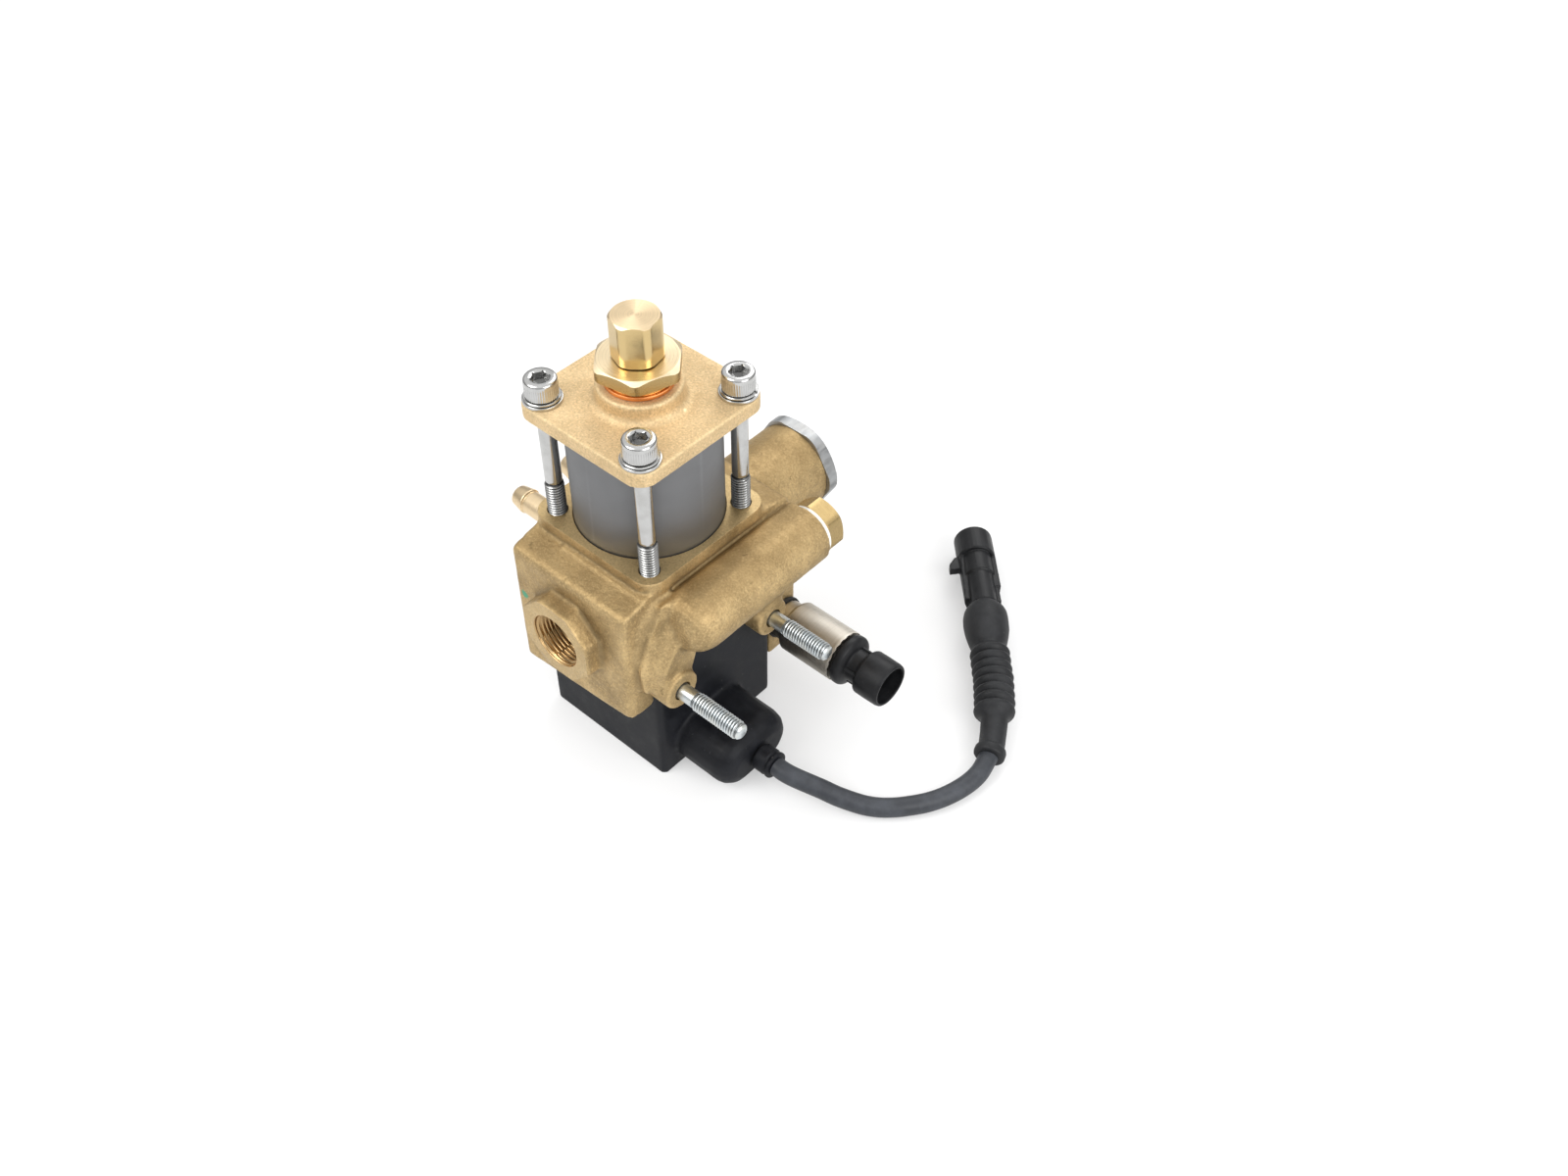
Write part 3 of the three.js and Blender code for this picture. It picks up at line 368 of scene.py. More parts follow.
# painted shade: a darker copy of the turned brass for hexagon sides
SHADED_HEX_BRASS = turned_finish("shaded_hexagon_brass", (0.42, 0.305, 0.14), 0.30, contrast=0.12)
DRAWN_BRASS = turned_finish("drawn_brass", (0.60, 0.45, 0.22), 0.22, 0.000006, 0.05)
PALE_BRASS = turned_finish("pale_brass", (0.80, 0.63, 0.40), 0.34)
PORT_BRASS = turned_finish("port_thread_brass", (0.47, 0.315, 0.15), 0.30)
COPPER = turned_finish("copper", (0.80, 0.33, 0.12), 0.30)
CYLINDER = turned_finish("cylinder_steel", (0.19, 0.193, 0.198), 0.50, 0.000008, 0.06, 0.82)
SCREW_STEEL = plated_finish("screw_steel", (0.52, 0.52, 0.515), (0.46, 0.46, 0.45), 0.17, 0.3)
# the thread finishes paint shade towards the thread's root
SCREW_THREAD = plated_finish("screw_thread", (0.50, 0.50, 0.49), (0.44, 0.44, 0.43), 0.26, 0.97,
                             (2.55, 2.99))
ZINC = plated_finish("zinc_steel", (0.58, 0.625, 0.645), (0.66, 0.67, 0.63), 0.34)
ZINC_THREAD = plated_finish("zinc_thread", (0.62, 0.665, 0.685), (0.68, 0.69, 0.66), 0.34, 0.8,
                            (2.42, 2.9))
CAP_STEEL = plated_finish("cap_steel", (0.38, 0.39, 0.395), (0.44, 0.44, 0.435), 0.42)
SENSOR_STEEL = turned_finish("sensor_steel", (0.54, 0.505, 0.445), 0.42)
SPRING_STEEL = plated_finish("spring_steel", (0.28, 0.285, 0.29), (0.34, 0.33, 0.32), 0.3)
DARK_STEEL = plated_finish("dark_steel", (0.16, 0.16, 0.165), (0.2, 0.2, 0.2), 0.35)
COIL_BLACK = moulded_finish("coil_black", (0.0042, 0.0048, 0.0068), 0.50, 0.00003, 0.2, gloss=0.2)
PLUG_BLACK = moulded_finish("plug_black", (0.0052, 0.0055, 0.0064), 0.42, 0.000015, 0.1)
RUBBER = moulded_finish("boot_rubber", (0.0120, 0.0125, 0.0138), 0.52, 0.00002, 0.15)
SEAL_RUBBER = moulded_finish("seal_rubber", (0.012, 0.012, 0.012), 0.6, 0.00001, 0.1)
CABLE_GREY = moulded_finish("cable_grey", (0.030, 0.033, 0.039), 0.50, 0.000012, 0.1, 0.6, 0.35)
NYLON = moulded_finish("white_nylon", (0.62, 0.60, 0.55), 0.45, 0.00001, 0.3, gloss=0.5)

# ------------ geometry: (points, faces) in mm


def lathe(profile, segments=64, start=0.0, closed=False, angles=None):
    """Rings about Z. A radius or height may be a function of the angles; radius 0 is a pole.
    closed joins the last ring to the first. Angles that are given leave a gap with filled ends."""
    t = start + np.arange(segments) * TAU / segments if angles is None else angles
    count = len(t)
    points, rings, faces = [], [], []
    for r, z in profile:
        first = len(points)
        if not callable(r) and r == 0:
            points.append((0.0, 0.0, float(z)))
            rings.append([first] * count)
            continue
        radius = r(t) if callable(r) else np.full(count, float(r))
        height = z(t) if callable(z) else np.full(count, float(z))
        points.extend(zip(radius * np.cos(t), radius * np.sin(t), height))
        rings.append(list(range(first, first + count)))
    pairs = list(zip(rings, rings[1:]))
    if closed:
        pairs.append((rings[-1], rings[0]))
    turn = range(count) if angles is None else range(count - 1)
    for a, b in pairs:
        for j in turn:
            k = (j + 1) % count
            face = [a[j], a[k], b[k], b[j]]
            faces.append([p for i, p in enumerate(face) if p not in face[:i]])
    if angles is not None:
        faces.append([row[0] for row in rings])
        faces.append([row[-1] for row in rings][::-1])
    return points, faces


def rounded(profile, radius, closed=False):
    """The profile with each corner that has room turned into a small curve."""
    corners = [np.array(p, float) for p in profile]
    result = []
    for i, p in enumerate(corners):
        if not closed and i in (0, len(corners) - 1):
            result.append(tuple(p))
            continue
        before, after = corners[i - 1] - p, corners[(i + 1) % len(corners)] - p
        room = min(np.linalg.norm(before), np.linalg.norm(after)) * 0.45
        reach = min(radius, room)
        a, b = p + before / np.linalg.norm(before) * reach, p + after / np.linalg.norm(after) * reach
        for s in np.linspace(0, 1, 4):
            result.append(tuple((1 - s) ** 2 * a + 2 * s * (1 - s) * p + s * s * b))
    return result


def section(inner, outer, low, high):
    """A ring's section with square corners."""
    return [(inner, low), (outer, low), (outer, high), (inner, high)]


def ring(outline, segments, soft=0.0):
    """A turned ring from its section, with its corners softened."""
    return lathe(rounded(outline, soft, closed=True) if soft else outline, segments, closed=True)


def hexagon(across_flats, corner, limit=1e9):
    """Radius of a hexagon at each angle, with its corners cut off at a limit."""
    def radius(t):
        return np.minimum(across_flats / 2 / np.cos((t - corner) % (TAU / 6) - TAU / 12), limit)
    return radius


def hex_head(across_flats, corner, limit, z0, z1, bottom_r, top_r, slope=0.577, hole=0.0):
    """A hexagon with its corners turned off by a cone at each end, and a round hole through it."""
    radius = hexagon(across_flats, corner, limit)
    low = lambda t: z0 + np.maximum(0, radius(t) - bottom_r) * slope
    high = lambda t: z1 - np.maximum(0, radius(t) - top_r) * slope
    profile = [(lambda t: np.minimum(radius(t), bottom_r), z0), (radius, low), (radius, high),
               (lambda t: np.minimum(radius(t), top_r), z1)]
    if hole:
        return lathe([(hole, z0)] + profile + [(hole, z1)], 72, corner, closed=True)
    return lathe([(0, z0)] + profile + [(0, z1)], 72, corner)


def thread(z0, z1, radius, pitch, depth, rows=8):
    """Profile rows of a screw thread whose crests reach the radius."""
    result = []
    for z in np.arange(z0, z1, pitch / rows):
        fade = min(1.0, (z - z0) / pitch, (z1 - z) / pitch)

        def wave(t, z=z, fade=fade):
            saw = np.abs(((z / pitch - t / TAU) % 1) * 2 - 1)
            return radius - depth * (1 - fade) - depth * fade * np.clip(saw * 1.25 - 0.12, 0, 1)
        result.append((wave, z))
    return result


def prism(outline, z0, z1):
    """An outline of (x, y) carried from one height to another."""
    n = len(outline)
    points = [(x, y, z) for z in (z0, z1) for x, y in outline]
    faces = [list(range(n))[::-1], list(range(n, 2 * n))]
    faces += [[i, (i + 1) % n, n + (i + 1) % n, n + i] for i in range(n)]
    return points, faces


def box(x0, x1, y0, y1, z0, z1):
    return prism([(x0, y0), (x1, y0), (x1, y1), (x0, y1)], z0, z1)


def rounded_square(half, radius):
    outline = []
    steps = 8
    for sx, sy, start in ((1, 1, 0), (-1, 1, 1), (-1, -1, 2), (1, -1, 3)):
        for i in range(steps + 1):
            a = (start + i / steps) * math.pi / 2
            outline.append((sx * (half - radius) + radius * math.cos(a),
                            sy * (half - radius) + radius * math.sin(a)))
    return outline


def joined(*shapes):
    points, faces = [], []
    for p, f in shapes:
        offset = len(points)
        points.extend(p)
        faces.extend([i + offset for i in face] for face in f)
    return points, faces


def hull(points):
    """The convex solid round some points."""
    data = bmesh.new()
    for p in points:
        data.verts.new(p)
    made = bmesh.ops.convex_hull(data, input=data.verts)
    bmesh.ops.delete(data, geom=made["geom_interior"] + made["geom_unused"], context="VERTS")
    data.verts.index_update()
    shape = [tuple(v.co) for v in data.verts], [[v.index for v in f.verts] for f in data.faces]
    data.free()
    return shape


def moved(shape, matrix):
    points = np.array(shape[0], float) @ np.array(matrix.to_3x3()).T + np.array(matrix.translation)
    return points.tolist(), shape[1]


def at(x, y, z):
    return Matrix.Translation((x, y, z))


def along_x(x, y, z):
    return at(x, y, z) @ Matrix.Rotation(TAU / 4, 4, "Y")


def along_y(x, y, z):
    return at(x, y, z) @ Matrix.Rotation(-TAU / 4, 4, "X")


def smooth_path(points, steps):
    """Points evenly read from a smooth curve through the given ones."""
    p = [Vector(q) for q in points]
    p = [p[0] * 2 - p[1]] + p + [p[-1] * 2 - p[-2]]
    result = []
    for i in range(1, len(p) - 2):
        for s in range(steps):
            t = s / steps
            result.append(0.5 * (2 * p[i] + (p[i + 1] - p[i - 1]) * t
                                 + (2 * p[i - 1] - 5 * p[i] + 4 * p[i + 1] - p[i + 2]) * t * t
                                 + (3 * p[i] - p[i - 1] - 3 * p[i + 1] + p[i + 2]) * t ** 3))
    return result + [p[-2]]


def sweep(path, stations, segments):
    """A round tube along a path; stations are (fraction of its length, radius or function)."""
    lengths = np.cumsum([0] + [(b - a).length for a, b in zip(path, path[1:])])
    knots = np.array(path)
    t = np.arange(segments) * TAU / segments
    points, faces = [], []
    up = Vector((0, 0, 1))

    def centre(fraction):
        s = min(max(fraction, 0), 1) * lengths[-1]
        return Vector([np.interp(s, lengths, knots[:, k]) for k in range(3)])

    for fraction, radius in stations:
        middle = centre(fraction)
        heading = (centre(fraction + 0.01) - centre(fraction - 0.01)).normalized()
        side = heading.cross(up).normalized()
        over = side.cross(heading)
        r = radius(t) if callable(radius) else np.full(segments, radius)
        points.extend(tuple(middle + side * (q * math.cos(a)) + over * (q * math.sin(a)))
                      for q, a in zip(r, t))
    rows = len(stations)
    for i in range(rows - 1):
        for j in range(segments):
            k = (j + 1) % segments
            faces.append([i * segments + j, i * segments + k, (i + 1) * segments + k,
                          (i + 1) * segments + j])
    faces.append(list(range(segments))[::-1])
    faces.append([(rows - 1) * segments + j for j in range(segments)])
    return points, faces


# ------------ objects


def make(name, shape, material, place=None, sharp=28, soften=0.0):
    """An object from a shape in millimetres; its own axes are those the shape was drawn in."""
    mesh = bpy.data.meshes.new(name)
    mesh.from_pydata((np.array(shape[0], float) * MM).tolist(), [], shape[1])
    mesh.validate()
    tidy(mesh)
    mesh.shade_smooth()
    mesh.materials.append(material)
    obj = linked(name, mesh)
    if place is not None:
        matrix = place.copy()
        matrix.translation = matrix.translation * MM
        obj.matrix_world = matrix
    if soften:
        bevel = obj.modifiers.new("edges", "BEVEL")
        bevel.width = soften * MM
        bevel.segments = 2
        bevel.limit_method = "ANGLE"
        bevel.angle_limit = math.radians(20)
        bevel.harden_normals = True
    else:
        mesh.set_sharp_from_angle(angle=math.radians(sharp))
    return obj


def tidy(mesh):
    """Merges doubled points and turns every face outwards."""
    data = bmesh.new()
    data.from_mesh(mesh)
    bmesh.ops.remove_doubles(data, verts=data.verts, dist=1e-6)
    bmesh.ops.recalc_face_normals(data, faces=data.faces)
    data.to_mesh(mesh)
    data.free()


def read(items, key):
    """One vector for each of a mesh's points, normals or faces."""
    values = np.zeros(len(items) * 3)
    items.foreach_get(key, values)
    return values.reshape(-1, 3)


def coat(obj, material, chosen):
    """Gives another material to the faces chosen by their centres, in millimetres, and normals."""
    polygons = obj.data.polygons
    mask = chosen(read(polygons, "center") / MM, read(polygons, "normal"))
    index = np.zeros(len(polygons), dtype=int)
    polygons.foreach_get("material_index", index)
    index[mask] = len(obj.data.materials)
    obj.data.materials.append(material)
    polygons.foreach_set("material_index", index)


def between(low, high):
    """Picks the faces between two heights along the piece's own Z."""
    return lambda centres, normals: (centres[:, 2] > low) & (centres[:, 2] < high)


def bake(obj):
    """Turns an object's modifiers into mesh."""
    graph = bpy.context.evaluated_depsgraph_get()
    mesh = bpy.data.meshes.new_from_object(obj.evaluated_get(graph))
    obj.modifiers.clear()
    obj.data = mesh


def smoothen(obj, rounds, group=""):
    """Smooths a mesh, or one group of its points."""
    smooth = obj.modifiers.new("smooth", "SMOOTH")
    smooth.factor = 0.5
    smooth.iterations = rounds
    smooth.vertex_group = group
    bake(obj)


def melt(name, node, plugs, voxel, rounds, wave, material, softer=None, ridges=None, extra_shade=None):
    """A CAD solid and its plugs melted into one skin, with edges rounded and a wavy surface.
    softer picks points that are rounded more, ridges gives raised lines where a mould parted and
    the last argument adds painted shade to the measure of cavities."""
    source = NODES[node].data
    solid = (read(source.vertices, "co") / MM).tolist(), [list(p.vertices) for p in source.polygons]
    obj = make(name, joined(solid, *plugs), material)
    remesh = obj.modifiers.new("melt", "REMESH")
    remesh.mode = "VOXEL"
    remesh.voxel_size = voxel * MM
    remesh.use_smooth_shade = True
    smoothen(obj, rounds)
    if softer:
        chosen = np.flatnonzero(softer(read(obj.data.vertices, "co") / MM))
        obj.vertex_groups.new(name="softer").add([int(i) for i in chosen], 1.0, "REPLACE")
        smoothen(obj, 9, "softer")
    mesh = obj.data
    if wave:
        co = read(mesh.vertices, "co")
        height = np.array([noise.noise(Vector(p) / (5 * MM))
                           + 0.45 * noise.noise(Vector(p) / (1.9 * MM)) for p in co])
        if ridges:
            height = height + ridges(co / MM) / wave
        co += read(mesh.vertex_normals, "vector") * (height * wave * MM)[:, None]
        mesh.vertices.foreach_set("co", co.ravel())
    mesh.materials.clear()
    mesh.materials.append(material)
    measure_cavities(obj, extra_shade)
    return obj


def measure_cavities(obj, extra_shade):
    """Stores how far the skin lies below its own smoothed shape, in millimetres, plus extra painted
    shade.
    """
    twin = linked("twin", obj.data.copy())
    smoothen(twin, 70)
    co = read(obj.data.vertices, "co")
    offset = (read(twin.data.vertices, "co") - co) * read(obj.data.vertex_normals, "vector")
    layer = obj.data.attributes.new("cavity", "FLOAT", "POINT")
    layer.data.foreach_set("value", offset.sum(axis=1) / MM + (extra_shade(co / MM) if extra_shade else 0))
    bpy.data.objects.remove(twin)


def machine(obj, tools, material):
    """Cuts the tools out of an object; the cut faces are the machined material."""
    obj.data.materials.append(material)
    cutters = []
    for i, tool in enumerate(tools):
        cutter = make(f"cutter_{i}", tool, obj.data.materials[0])
        cutter.data.materials.append(material)
        cutter.data.polygons.foreach_set("material_index", [1] * len(cutter.data.polygons))
        modifier = obj.modifiers.new("cut", "BOOLEAN")
        modifier.operation = "DIFFERENCE"
        modifier.solver = "MANIFOLD"
        modifier.object = cutter
        cutters.append(cutter)
    bake(obj)
    for cutter in cutters:
        bpy.data.objects.remove(cutter)
    obj.data.shade_smooth()
    obj.data.set_sharp_from_angle(angle=math.radians(35))


def show(obj, body, *nodes, slot):
    """Lets a piece ride on a body and stand for the CAD nodes named. slot is not used."""
    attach(obj, body)
    if nodes:
        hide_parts(*nodes)


# ------------ casting


def drilling(axis, radius, start, end, a=0.0, b=0.0, segments=48):
    """A round rod: along x at (y, z), along y at (x, z) or along z at (x, y)."""
    rod = lathe([(0, start), (radius, start), (radius, end), (0, end)], segments)
    place = {"x": along_x(0, a, b), "y": along_y(a, 0, b), "z": at(a, b, 0)}[axis]
    return moved(rod, place)


CORNERS = [(SCREW_AT * sx, SCREW_AT * sy) for sx, sy in ((1, 1), (-1, 1), (-1, -1), (1, -1))]

# axis, radius, start, end, the two other coordinates, and the end that opens to the outside:
# 1 for the end, -1 for the start and 0 for neither
HOLES = [
    ("z", 23.6, 83.4, DECK_TOP, 0, 0, 1), ("z", 19, 76, 83.5, 0, 0, 0),
    ("z", 7.3, 66, 76.1, 0, 0, 0), ("z", 4.2, 57.9, 66.1, 0, 0, 0), ("z", 8.3, 51.2, 58, 0, 0, -1),
    ("y", 9.5, PORT_FACE, -29.4, 0, PORT_Z, -1), ("y", 3.4, -29.5, -13.5, 0, PORT_Z, 0),
    ("z", 3, PORT_Z, 76.2, 0, -15.8, 0),
    ("y", 11.5, 38, FILTER_FACE, 0, PORT_Z, 1), ("y", 3.4, 0, 38.1, 0, PORT_Z, 0),
    ("y", 5, -12, BRANCH_BACK, BRANCH_X, BRANCH_Z, 1), ("x", 2, 17, BRANCH_X, 0, 76.6, 0),
    ("x", 6.8, 12, *SENSOR, 1), ("x", 2, -1, 12.1, SENSOR[1], SENSOR[2], 0),
    ("z", 2, SENSOR[2], PORT_Z, 0, SENSOR[1], 0), ("y", 2.6, -10.5, 10.5, -16.5, BARB_Z, 0),
]
HOLES += [("x", 4.3, -24.9, -15.4, y, BARB_Z, -1) for y in BARB_Y]
HOLES += [("z", 3.3, 74, DECK_TOP, x, y, 1) for x, y in CORNERS]
HOLES += [("x", 3.3, 27.3, STUD_FACE, y, z, 1) for y, z, _ in STUDS]


def plug_of(hole):
    """Fills a hole before the melt, so that its rim stays where it is."""
    axis, radius, start, end, a, b, opening = hole
    return drilling(axis, radius + 0.5, start - (0.3 if opening >= 0 else 0),
                    end + (0.3 if opening <= 0 else 0), a, b, 24)


def tool_of(hole):
    """Drills the hole again after the melt, past the face that it opens to."""
    axis, radius, start, end, a, b, opening = hole
    return drilling(axis, radius, start - (1.5 if opening < 0 else 0),
                    end + (1.5 if opening > 0 else 0), a, b, 96 if radius > 8 else 32)


def soft_places(p):
    """The port boss's front edge, the front corners, the valley's end, the left shoulder and the
    front arm's side."""
    boss = (p[:, 1] < -40) & (np.abs(p[:, 0]) < 18)
    corners = (p[:, 1] < -33) & (np.abs(p[:, 0]) > 20) & (p[:, 2] < 80)
    valley = (p[:, 1] < -14) & (p[:, 0] > 22) & (p[:, 0] < 33) & (p[:, 2] > 75.5) & (p[:, 2] < 83)
    shoulder = (p[:, 1] < -31.5) & (p[:, 0] < 0) & (p[:, 2] > 76)
    arm = ((p[:, 1] < -17) & (p[:, 0] > 28.5) & (p[:, 0] < STUD_FACE - 3) & (p[:, 2] > 50)
           & (p[:, 2] < 77))
    return boss | corners | valley | shoulder | arm


def near(p, line):
    """Distance from each point to a line of straight pieces."""
    best = np.full(len(p), 1e9)
    for a, b in zip(np.array(line[:-1], float), np.array(line[1:], float)):
        along = np.clip((p - a) @ (b - a) / ((b - a) @ (b - a)), 0, 1)
        best = np.minimum(best, np.linalg.norm(p - a - along[:, None] * (b - a), axis=1))
    return best


def parting_lines(p):
    """Seams that the mould left on the front, the deck's foot and the front arm, and a mark."""
    ridge = [(27.2, -23.6, 77.6), (27.3, -27.9, 71.4), (27.7, -33.2, 59), (28.2, -32.4, 50)]
    beside = [(28.4, -21.6, 77.2), (28.6, -25.9, 70.9), (29.3, -31, 58.8), (29.5, -30, 51)]
    second = [(33.6, -21.8, 70), (33.6, -29.2, 59.8)]
    arm = (0.75 * np.exp(-(near(p, ridge) / 1.0) ** 2) + 0.4 * np.exp(-(near(p, second) / 0.9) ** 2)
           - 0.45 * np.exp(-(near(p, beside) / 0.9) ** 2))
    front = p[:, 1] < -34
    level = p[:, 2] - 69.5 - 0.62 * (p[:, 0] - 12.8)
    along = np.exp(-(level / 0.5) ** 2) * front * (p[:, 0] > 12)
    seam = np.exp(-((p[:, 0] - 0.45) / 0.5) ** 2) * front * (p[:, 2] > 73)
    bead = np.exp(-((p[:, 2] - 83) / 0.5) ** 2) * (p[:, 1] > -28) * (p[:, 1] < -25) * (p[:, 0] > -10)
    mark = np.hypot(p[:, 1] + 31.2, p[:, 2] - 70.3)
    dot = np.exp(-((mark - 1.0) / 0.4) ** 2) * (p[:, 0] > 24)
    return 0.16 * along + 0.18 * seam + 0.2 * dot + 0.3 * bead + arm


def recess_shade(p):
    """Extra painted shade between the front lobe's corner and the front arm's ridge."""
    line = [(27.4, -27.6, 76), (27.4, -31.5, 70), (27.3, -34.6, 62), (27.2, -35.2, 50)]
    return 0.65 * np.exp(-(near(p, line) / 2.0) ** 2)


def add_casting():
    octagon = [(15.15 * math.cos(a), 15.15 * math.sin(a))
               for a in (TAU / 16 + i * TAU / 8 for i in range(8))]
    extra = [
        moved(prism(octagon, PORT_FACE - 0.35, -36), along_y(0, 0, PORT_Z)),
        drilling("y", 15.3, 60, FILTER_FACE + 0.9, 0, PORT_Z, 96),
        prism(rounded_square(DECK_HALF, DECK_CORNER), 84.5, DECK_TOP + 0.7),
    ]
    extra += [drilling("x", 6.6, 30, STUD_FACE + 0.35, y, z, 48) for y, z, _ in STUDS]
    # metal that fills the valley between the deck and the branch
    valley = [(22, 70), (29, 70), (29, 81.5), (27, 80.3), (25.4, 79.9), (22, 80.6)]
    extra.append(([(x, y, z) for y in (-24.5, 30) for x, z in valley], prism(valley, 0, 1)[1]))
    # metal between the lobe's shoulder, the arm's ridge and the branch's nose
    extra.append(hull([(23, -35, 77), (23, -28, 81.4), (23, -18, 82.6), (26.4, -18, 81.6),
                       (27.3, -21.4, 80.2), (27.3, -24.6, 76.8), (27.2, -28.2, 71), (24, -35, 66),
                       (23, -18, 62), (27, -18, 62)]))
    # the bore under the cylinder is filled as far down as the groove reaches
    extra.append(drilling("z", 23.2, 81, 84))
    # the last argument paints shade into the recess beside the front arm
    casting = melt("body_casting", "valve_body", [plug_of(h) for h in HOLES] + extra, 0.68, 3, 0.09,
                   CAST, soft_places, parting_lines, recess_shade)
    # what is milled off the port face, the filter face, the deck and the branch's end
    slabs = [
        box(-20, 20, PORT_FACE - 3, PORT_FACE, 44, 77),
        box(-20, 20, FILTER_FACE, FILTER_FACE + 3, 44, 77),
        box(-30, 30, -30, 30, DECK_TOP, DECK_TOP + 3),
        drilling("y", 9.3, BRANCH_BACK, 45, BRANCH_X, BRANCH_Z),
    ]
    groove = ring(section(GROOVE_IN, GROOVE_OUT, 81.5, 83.6), 64)
    machine(casting, slabs + [tool_of(h) for h in HOLES] + [groove], MACHINED)
    show(casting, "valve", "valve_body", slot="cast_brass")

    # the port's female thread, in a sleeve of the same metal
    turns = thread(0.3, 12.4, 8.75, 1.337, 0.75)
    inside = [(lambda t, r=r, z=z: np.maximum(17.25 - r(t), 9.45 - 1.1 * z), z) for r, z in turns]
    sleeve = lathe([(9.6, 12.9), (9.6, 0.03), (9.42, 0.03)] + inside + [(8.0, 12.9)], 96, closed=True)
    show(make("port_thread", sleeve, PORT_BRASS, along_y(0, PORT_FACE, PORT_Z), 50),
         "valve", slot="cast_brass")


# ------------ spring cylinder, plate, screws


def add_cylinder():
    tube = ring(section(TUBE_IN, TUBE_OUT, TUBE_LOW, TUBE_HIGH), 160, 0.4)
    show(make("cylinder_tube", tube, CYLINDER, sharp=50), "valve", "spring_cylinder",
         slot="dark_steel")
    holes = [(8.3, BOSS_TOP, 0, 0)] + [(3.3, PLATE_TOP, x, y) for x, y in CORNERS]
    plugs = [drilling("z", radius + 0.5, 125, top, x, y, 24) for radius, top, x, y in holes]
    # the plate's seat for the cylinder is filled for the melt and cut again after it
    filler = ring(section(18.1, 24, 125, 128.4), 64)
    plate = melt("plate_casting", "top_plate", plugs + [filler], 0.42, 4, 0.05, PLATE)
    tools = [drilling("z", radius, 123.5, top + 1.5, x, y, 64) for radius, top, x, y in holes]
    seat = ring(section(18.6, 23.6, 123, 126.2), 96)
    groove = ring(section(GROOVE_IN, GROOVE_OUT, 126, 128.1), 96)
    machine(plate, tools + [seat, groove], MACHINED)
    show(plate, "valve", "top_plate", slot="cast_brass")


def screw_head(base):
    """A knurled M6 socket head; 264 sides give each of its 44 flutes six."""
    knurl = lambda t: 5 - 0.16 * np.abs(((t * 44 / TAU) % 1) * 2 - 1)
    socket = hexagon(5, TAU / 12)
    rows = [
        (0, 0), (4.75, 0), (4.95, 0.15), (knurl, 0.5), (knurl, 3.9), (4.97, 4.2), (4.97, 5.25),
        (4.86, 5.5), (4.55, 5.82), (4.3, 5.93), (3.35, 6), (3.0, 5.93),
        (lambda t: np.minimum(socket(t), 2.87), 5.6), (socket, 5.5), (socket, 3.1), (0, 2.6),
    ]
    return lathe([(r, base + z) for r, z in rows], 264, TAU / 12)


def add_screws():
    base = PLATE_TOP + 2
    head = screw_head(base)
    low, high = 75.2, 99.2
    shank = lathe([(0, 75), (2.3, 75)] + thread(low, high, 3, 1, 0.62, 10)
                  + [(2.62, 99.6), (2.65, 100.2), (2.65, base + 0.1), (0, base + 0.1)], 48)
    # the lock washer is open at one side, and one of its ends stands up
    around = np.linspace(0.11, TAU - 0.11, 60)
    rise = lambda z: lambda t: z + 0.22 * (t / TAU - 0.5)
    split = [(3.2, 131.2), (5.45, 131.2), (5.6, 131.3), (5.6, 131.65), (5.45, 131.78), (3.2, 131.78)]
    split = lathe([(r, rise(z)) for r, z in split], angles=around, closed=True)
    flat = ring(section(3.3, 6, 130.1, 131), 72, 0.2)
    for i, (x, y) in enumerate(CORNERS):
        # each screw stopped at its own angle
        turn = at(x, y, 0) @ Matrix.Rotation(0.35 + 0.61 * i, 4, "Z")
        screw = make(f"screw_{i + 1}", joined(head, shank), SCREW_STEEL, turn, 40)
        coat(screw, SCREW_THREAD, between(low, high + 0.1))
        show(screw, "valve", f"cap_screw_{i + 1}", slot="stainless")
        for name, shape, node in (("split", split, "lock"), ("plain", flat, "flat")):
            show(make(f"{name}_washer_{i + 1}", shape, SCREW_STEEL, turn, 40), "valve",
                 f"{node}_washer_{i + 1}", slot="stainless")


# ------------ adjuster


